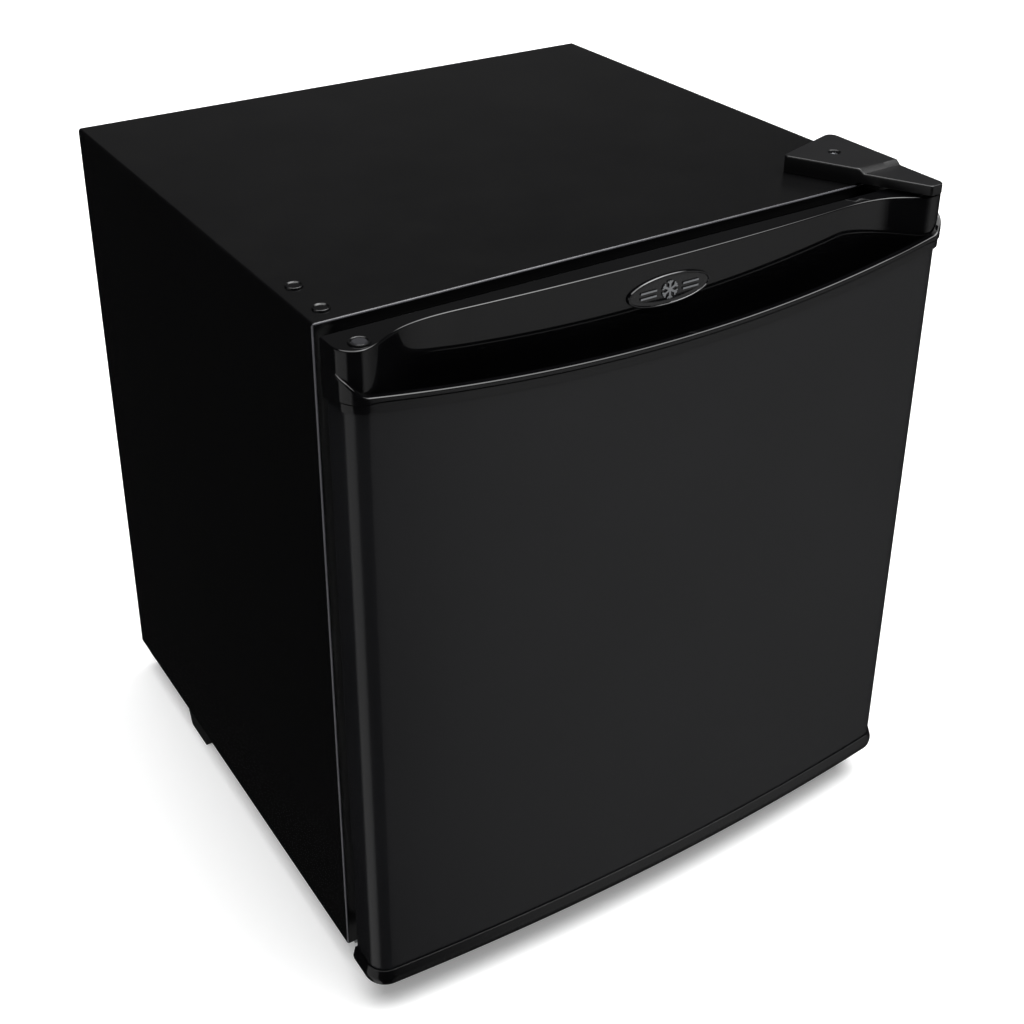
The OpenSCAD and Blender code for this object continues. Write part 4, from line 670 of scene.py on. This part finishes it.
def finish(name, colour, rough, metal=0.0, spec=0.5, coat=0.0, coat_rough=0.05, grain=(900.0, 0.3, 0.02), touch=0.06,
           wear=0.0, wear_and_highlight_colour=(0.25, 0.25, 0.25), dust=0.0, blotch=0.12, spangle=0.0, soft=0.0004, alpha=1.0, glass=0.0,
           fold=0.0):
    """One material: base colour slowly varied, a painted highlight line where a mesh carries the fold mask, wear, dust
    and handling from the shared groups, and a bump of grain on edges rounded by a bevel of normals."""
    m = bpy.data.materials.new(name)
    m.use_nodes = True
    n = Nodes(m.node_tree)
    shader = m.node_tree.nodes["Principled BSDF"]
    at = n.add("TexCoord").outputs["Object"]

    def use(effect, **values):
        node = n.add("Group", node_tree=bpy.data.node_groups[effect])
        n.join(at, node.inputs["Vector"])
        for key, value in values.items():
            n.join(value, node.inputs[key.replace("_", " ")])
        return node.outputs[0]

    base = tuple(colour) + (1.0,)
    deep = tuple(c * (1 - blotch) for c in colour) + (1.0,)
    tone = n.ramp(n.noise(at, 9.0, 4.0), 0.3, 0.7)
    out = n.mix(tone, deep, base)
    roughness = use("Touch", Roughness=rough, Amount=touch)
    if spangle:
        cell = use("Spangle", Scale=spangle)
        out = n.mix(n.ramp(cell, 0.0, 1.0, 0.0, 0.45), out, tuple(c * 0.62 for c in colour) + (1.0,))
        roughness = n.math("ADD", roughness, n.math("MULTIPLY", cell, 0.12))
    # Painted highlight: the fold mask lightens a thin line along the cabinet's front fold towards the given pale
    # colour, broken a little by noise.
    if fold:
        painted_highlight = n.add("Attribute", attribute_name="fold").outputs["Fac"]
        painted_highlight = n.math("MULTIPLY", painted_highlight, n.ramp(n.noise(at, 40.0, 4.0), 0.25, 0.6, 0.75, 1.0))
        out = n.mix(n.math("MULTIPLY", painted_highlight, fold, clamp=True), out, tuple(wear_and_highlight_colour) + (1.0,))
    if wear:
        out = n.mix(use("Wear", Radius=2 * soft, Amount=wear), out, tuple(wear_and_highlight_colour) + (1.0,))
    if dust:
        mask = use("Dust", Amount=dust)
        out = n.mix(mask, out, (0.30, 0.29, 0.27, 1.0))
        roughness = n.math("ADD", roughness, n.math("MULTIPLY", mask, 0.3), clamp=True)
    n.join(out, shader.inputs["Base Color"])
    n.join(roughness, shader.inputs["Roughness"])
    shader.inputs["Metallic"].default_value = metal
    shader.inputs["Specular IOR Level"].default_value = spec
    shader.inputs["Coat Weight"].default_value = coat
    shader.inputs["Coat Roughness"].default_value = coat_rough
    shader.inputs["Transmission Weight"].default_value = glass
    shader.inputs["Alpha"].default_value = alpha
    scale, ripple, depth = grain
    bump = n.add("Bump", {"Height": use("Grain", Scale=scale, Ripple=ripple), "Strength": depth, "Distance": 0.0005})
    if soft:
        n.join(n.add("Bevel", {"Radius": soft}, samples=4).outputs[0], bump.inputs["Normal"])
    n.join(bump.outputs[0], shader.inputs["Normal"])
    return m


def build_finishes(looks):
    """All materials, then the carried-over solids take theirs by the slot their record names."""
    for old in bpy.data.materials:
        old.name = "cad_" + old.name
    shared_groups()
    white, black = tuple(looks.inside), tuple(looks.moulded)
    # The cabinet paint's fold strength and pale grey colour draw a painted highlight along the sheet's front fold; this
    # paint has no edge wear.
    finish("cabinet_paint", looks.cabinet, 0.24, spec=0.42, grain=(1500, 0.6, 0.10), touch=0.03, soft=0, fold=0.9,
           wear_and_highlight_colour=(0.09, 0.09, 0.10), dust=0.003)
    finish("door_paint", looks.door, 0.22, spec=0.5, grain=(1800, 0.5, 0.08), touch=0.03, soft=0, wear=0)
    finish("gloss_black", black, 0.035, spec=0.5, grain=(120, 0.8, 0.004), touch=0.012, soft=0, blotch=0.3)
    finish("cover_black", (0.0045, 0.0045, 0.0050), 0.34, spec=0.5, grain=(900, 0.6, 0.05), touch=0.03, soft=0)
    finish("plug_black", (0.0016, 0.0016, 0.0018), 0.22, grain=(600, 0.5, 0.03), soft=0)
    finish("plug_pale", (0.03, 0.03, 0.033), 0.08, grain=(600, 0.5, 0.03), soft=0)
    finish("badge_black", (0.0020, 0.0020, 0.0024), 0.10, coat=0.6, grain=(250, 0.6, 0.01), soft=0)
    finish("badge_silver", (0.52, 0.53, 0.55), 0.20, metal=1.0, grain=(700, 0.4, 0.03), soft=0)
    finish("seal_vinyl", (0.0030, 0.0030, 0.0034), 0.55, spec=0.3, grain=(1200, 0.5, 0.12), soft=0, dust=0.01)
    finish("zinc", (0.62, 0.63, 0.66), 0.30, metal=1.0, grain=(800, 0.5, 0.05), wear=0.3, wear_and_highlight_colour=(0.3, 0.28, 0.25))
    finish("galvanised", (0.46, 0.48, 0.50), 0.38, metal=0.9, spangle=70.0, grain=(500, 0.8, 0.04), touch=0.10, dust=0.10)
    finish("foam", (0.62, 0.50, 0.24), 0.85, grain=(260, 1.0, 0.5), blotch=0.25)
    finish("white_liner", white, 0.34, coat=0.15, coat_rough=0.2, grain=(420, 1.2, 0.05), touch=0.04, blotch=0.03)
    finish("white_flap", tuple(0.80 * c for c in white), 0.28, coat=0.2, coat_rough=0.15, grain=(420, 1.0, 0.04), blotch=0.03)
    finish("frame_black", (0.010, 0.010, 0.011), 0.42, grain=(900, 0.6, 0.12), wear=0.25, wear_and_highlight_colour=(0.05, 0.05, 0.05))
    finish("evaporator", (0.70, 0.72, 0.74), 0.46, metal=0.45, grain=(300, 1.0, 0.12), touch=0.12, blotch=0.12)
    finish("control_grey", (0.42, 0.43, 0.44), 0.38, metal=0.3, grain=(700, 0.5, 0.05))
    finish("knob_white", tuple(0.94 * c for c in white), 0.30, coat=0.2, grain=(700, 0.5, 0.05), blotch=0.03)
    finish("compressor_black", (0.008, 0.008, 0.009), 0.26, coat=0.35, coat_rough=0.2, grain=(220, 1.4, 0.16),
           wear=0.35, wear_and_highlight_colour=(0.08, 0.07, 0.06), dust=0.18)
    finish("rubber", (0.014, 0.014, 0.014), 0.80, spec=0.3, grain=(1000, 0.6, 0.25), dust=0.1)
    finish("bracket", (0.50, 0.51, 0.53), 0.36, metal=0.95, grain=(500, 0.8, 0.06), wear=0.3, wear_and_highlight_colour=(0.2, 0.18, 0.15),
           touch=0.1, dust=0.06)
    finish("satin_black", (0.0050, 0.0050, 0.0055), 0.45, grain=(1000, 0.6, 0.15), wear=0.15, wear_and_highlight_colour=(0.03, 0.03, 0.03),
           dust=0.04)
    finish("condenser_black", (0.006, 0.006, 0.007), 0.38, grain=(700, 0.6, 0.1), dust=0.22, soft=0, touch=0.08)
    finish("copper", (0.78, 0.36, 0.20), 0.30, metal=1.0, grain=(500, 0.8, 0.05), touch=0.14, blotch=0.35, soft=0)
    finish("nylon", (0.72, 0.71, 0.66), 0.40, grain=(600, 0.6, 0.06))
    finish("clear_rack", (0.93, 0.96, 0.97), 0.09, spec=0.5, glass=0.9, grain=(300, 1.0, 0.02), touch=0.03, blotch=0.03)
    finish("coated_wire", (0.80, 0.80, 0.78), 0.32, coat=0.4, coat_rough=0.15, grain=(500, 0.8, 0.05), soft=0)
    by_slot = {
        "cabinet_paint": "satin_black", "galvanised_sheet": "galvanised", "foam": "foam", "white_liner": "white_liner",
        "flap_white": "white_flap", "black_frame": "frame_black", "evaporator_metal": "evaporator",
        "control_metal": "control_grey", "knob_white": "knob_white", "compressor_paint": "compressor_black",
        "soft_rubber": "rubber", "seal_vinyl": "seal_vinyl", "zinc_fixings": "zinc", "bracket_steel": "bracket",
        "black_plastic": "satin_black", "condenser_paint": "condenser_black", "copper_pipe": "copper",
        "cover_black": "cover_black", "door_paint": "door_paint", "gloss_black": "gloss_black",
        "badge_black": "badge_black", "badge_silver": "badge_silver", "bush_nylon": "nylon", "plug_grey": "plug_black",
        "clear_rack": "clear_rack", "shelf_coating": "coated_wire", "foot_black": "satin_black"}
    slots = {p["node"]: p["material_slot"] for p in frame["record"]["subparts"]}
    for node, piece in frame["nodes"].items():
        for k in range(max(1, len(piece.data.materials))):
            if len(piece.data.materials) <= k:
                piece.data.materials.append(None)
            piece.material_slots[k].material = bpy.data.materials[by_slot[slots[node]]]


# ---- Stage ----
EYE = Vector((-0.5345, -0.8642, 0.8549))
LOOK = Vector((0.4825, 0.7575, -0.4397))
ROLL, LENS, SHIFT = 0.178, 53.58, (0.0070, -0.1771)
PANELS = (                    # (from, full) and (full, to) azimuths from the front, then heights, in degrees, brightness
    ((4, 26), (26, 100), (-80, -12), (8, 26), 0.40),
    ((-124, -112), (-68, -54), (-95, -90), (12, 30), 0.42),
    ((95, 160), (175, 181), (-10, 8), (40, 70), 0.06),
    ((-181, -180), (180, 181), (54, 62), (91, 95), 3.5),
    ((30, 50), (120, 140), (42, 50), (91, 95), 4.5),
)


def build_stage(looks):
    """Camera, pale floor and a soft surround: white to the eye, with broad lights fading out by direction."""
    scene = bpy.context.scene
    cam = bpy.data.objects.new("Camera", bpy.data.cameras.new("Camera"))
    scene.collection.objects.link(cam)
    cam.data.lens, cam.data.sensor_width = LENS, 36
    cam.data.shift_x, cam.data.shift_y = SHIFT
    cam.data.clip_end = 50
    turn = LOOK.to_track_quat("-Z", "Y").to_matrix().to_4x4() @ Matrix.Rotation(math.radians(ROLL), 4, "Z")
    cam.matrix_world = Matrix.Translation(EYE) @ turn
    scene.camera = cam
    scene.view_settings.view_transform = "Standard"

    world = bpy.data.worlds.new("Surround")
    scene.world = world
    world.use_nodes = True
    n = Nodes(world.node_tree)
    back = world.node_tree.nodes["Background"]
    way = n.add("TexCoord").outputs["Generated"]
    x, y, z = n.add("SeparateXYZ", {0: way}).outputs
    round_ = n.math("ARCTAN2", x, n.math("MULTIPLY", y, -1.0))
    rise = n.math("ARCSINE", z)
    total = 0.008
    for left, right, low, high, strength in PANELS:
        shape = n.ramp(round_, *map(math.radians, left))
        for value, (full, none) in ((round_, right), (rise, high)):
            shape = n.math("MULTIPLY", shape, n.ramp(value, math.radians(full), math.radians(none), 1.0, 0.0))
        shape = n.math("MULTIPLY", shape, n.ramp(rise, *map(math.radians, low)))
        total = n.math("ADD", n.math("MULTIPLY", shape, strength * looks.key), total)
    eye = n.add("LightPath").outputs["Is Camera Ray"]
    level = n.math("ADD", n.math("MULTIPLY", total, n.math("SUBTRACT", 1.0, eye)), eye)
    n.join(level, back.inputs["Strength"])
    back.inputs["Color"].default_value = (1, 1, 1, 1)

    lo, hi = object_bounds()
    mesh = bpy.data.meshes.new("floor")
    size = 8.0
    mesh.from_pydata([(-size, -size, lo.z), (size, -size, lo.z), (size, size, lo.z), (-size, size, lo.z)], [], [(0, 1, 2, 3)])
    floor = bpy.data.objects.new("floor", mesh)
    scene.collection.objects.link(floor)
    m = bpy.data.materials.new("floor_white")
    m.use_nodes = True
    shader = m.node_tree.nodes["Principled BSDF"]
    shader.inputs["Base Color"].default_value = (0.9, 0.9, 0.9, 1)
    shader.inputs["Roughness"].default_value = 0.9
    shader.inputs["Specular IOR Level"].default_value = 0.1
    shader.inputs["Emission Color"].default_value = (1, 1, 1, 1)
    shader.inputs["Emission Strength"].default_value = 0.25
    mesh.materials.append(m)
    floor.visible_glossy = floor.visible_shadow = False
    floor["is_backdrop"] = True
    for name, at, watts in (("key", (0.6, -0.9, 2.4), 24), ("back_fill", (-0.7, 1.9, 1.3), 13)):
        light = bpy.data.objects.new(name, bpy.data.lights.new(name, "AREA"))
        scene.collection.objects.link(light)
        light.data.shape, light.data.size, light.data.size_y = "RECTANGLE", 2.4, 1.8
        light.data.energy = watts * looks.key
        light.visible_glossy = False
        at = Vector(at)
        aim = (Vector((0, 0, 0.3)) - at).to_track_quat("-Z", "Y").to_matrix().to_4x4()
        light.matrix_world = Matrix.Translation(at) @ aim


# ---- Add-on ----
class Build:
    """What every build operator shares."""
    bl_options = {"REGISTER", "UNDO"}

    def execute(self, context):
        self.build(context.scene.fridge_sizes)
        return {"FINISHED"}


class FRIDGE_OT_finishes(bpy.types.Operator):
    """Make every material and give the carried-over solids theirs"""
    bl_idname, bl_label = "fridge.finishes", "Finishes"

    def execute(self, context):
        build_finishes(context.scene.fridge_looks)
        return {"FINISHED"}


class FRIDGE_OT_stage(bpy.types.Operator):
    """Set up the camera, the floor and the light"""
    bl_idname, bl_label = "fridge.stage", "Stage"

    def execute(self, context):
        build_stage(context.scene.fridge_looks)
        return {"FINISHED"}


class FRIDGE_OT_cabinet(Build, bpy.types.Operator):
    """Build the folded sheet of the cabinet"""
    bl_idname, bl_label, build = "fridge.cabinet", "Cabinet wrap", staticmethod(build_cabinet)


class FRIDGE_OT_hinge_cover(Build, bpy.types.Operator):
    """Build the cover over the top hinge and its screw"""
    bl_idname, bl_label, build = "fridge.hinge_cover", "Hinge cover", staticmethod(build_hinge_cover)


class FRIDGE_OT_top_plugs(Build, bpy.types.Operator):
    """Build the two plugs in the cabinet's top"""
    bl_idname, bl_label, build = "fridge.top_plugs", "Top plugs", staticmethod(build_top_plugs)


class FRIDGE_OT_handle_cap(Build, bpy.types.Operator):
    """Build the door's upper cap with its pocket handle"""
    bl_idname, bl_label, build = "fridge.handle_cap", "Handle cap", staticmethod(build_handle_cap)


class FRIDGE_OT_foot_cap(Build, bpy.types.Operator):
    """Build the door's lower cap"""
    bl_idname, bl_label, build = "fridge.foot_cap", "Foot cap", staticmethod(build_foot_cap)


class FRIDGE_OT_door_sheet(Build, bpy.types.Operator):
    """Build the bowed sheet of the door"""
    bl_idname, bl_label, build = "fridge.door_sheet", "Door sheet", staticmethod(build_door_skin)


class FRIDGE_OT_badge(Build, bpy.types.Operator):
    """Build the oval badge plate with its bead and shallow dome"""
    bl_idname, bl_label, build = "fridge.badge", "Badge", staticmethod(build_badge)


class FRIDGE_OT_seal(Build, bpy.types.Operator):
    """Build the bellows seal of the door"""
    bl_idname, bl_label, build = "fridge.seal", "Seal", staticmethod(build_seal)


class FRIDGE_OT_door_plugs(Build, bpy.types.Operator):
    """Build the plugs in the door's spare hinge holes"""
    bl_idname, bl_label, build = "fridge.door_plugs", "Door plugs", staticmethod(build_spare_plug)


class FRIDGE_PT_panel(bpy.types.Panel):
    """Sizes, colours and build steps of the refrigerator"""
    bl_idname, bl_label = "FRIDGE_PT_panel", "Compact refrigerator"
    bl_space_type, bl_region_type, bl_category = "VIEW_3D", "UI", "Fridge"

    def draw(self, context):
        for settings in (context.scene.fridge_sizes, context.scene.fridge_looks):
            box = self.layout.box()
            for key in settings.__annotations__:
                box.prop(settings, key)
        for step_ in STEPS:
            self.layout.operator(step_.bl_idname)


STEPS = (FRIDGE_OT_finishes, FRIDGE_OT_stage, FRIDGE_OT_cabinet, FRIDGE_OT_hinge_cover, FRIDGE_OT_top_plugs,
         FRIDGE_OT_handle_cap, FRIDGE_OT_foot_cap, FRIDGE_OT_door_sheet, FRIDGE_OT_badge, FRIDGE_OT_seal,
         FRIDGE_OT_door_plugs)
CLASSES = (FridgeSizes, FridgeLooks) + STEPS + (FRIDGE_PT_panel,)


def register():
    for c in CLASSES:
        bpy.utils.register_class(c)
    bpy.types.Scene.fridge_sizes = PointerProperty(type=FridgeSizes)
    bpy.types.Scene.fridge_looks = PointerProperty(type=FridgeLooks)


def unregister():
    del bpy.types.Scene.fridge_looks, bpy.types.Scene.fridge_sizes
    for c in reversed(CLASSES):
        bpy.utils.unregister_class(c)


def main():
    register()
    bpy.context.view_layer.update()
    for step_ in STEPS:
        family, name = step_.bl_idname.split(".")
        getattr(getattr(bpy.ops, family), name)()


if __name__ == "__main__":
    main()
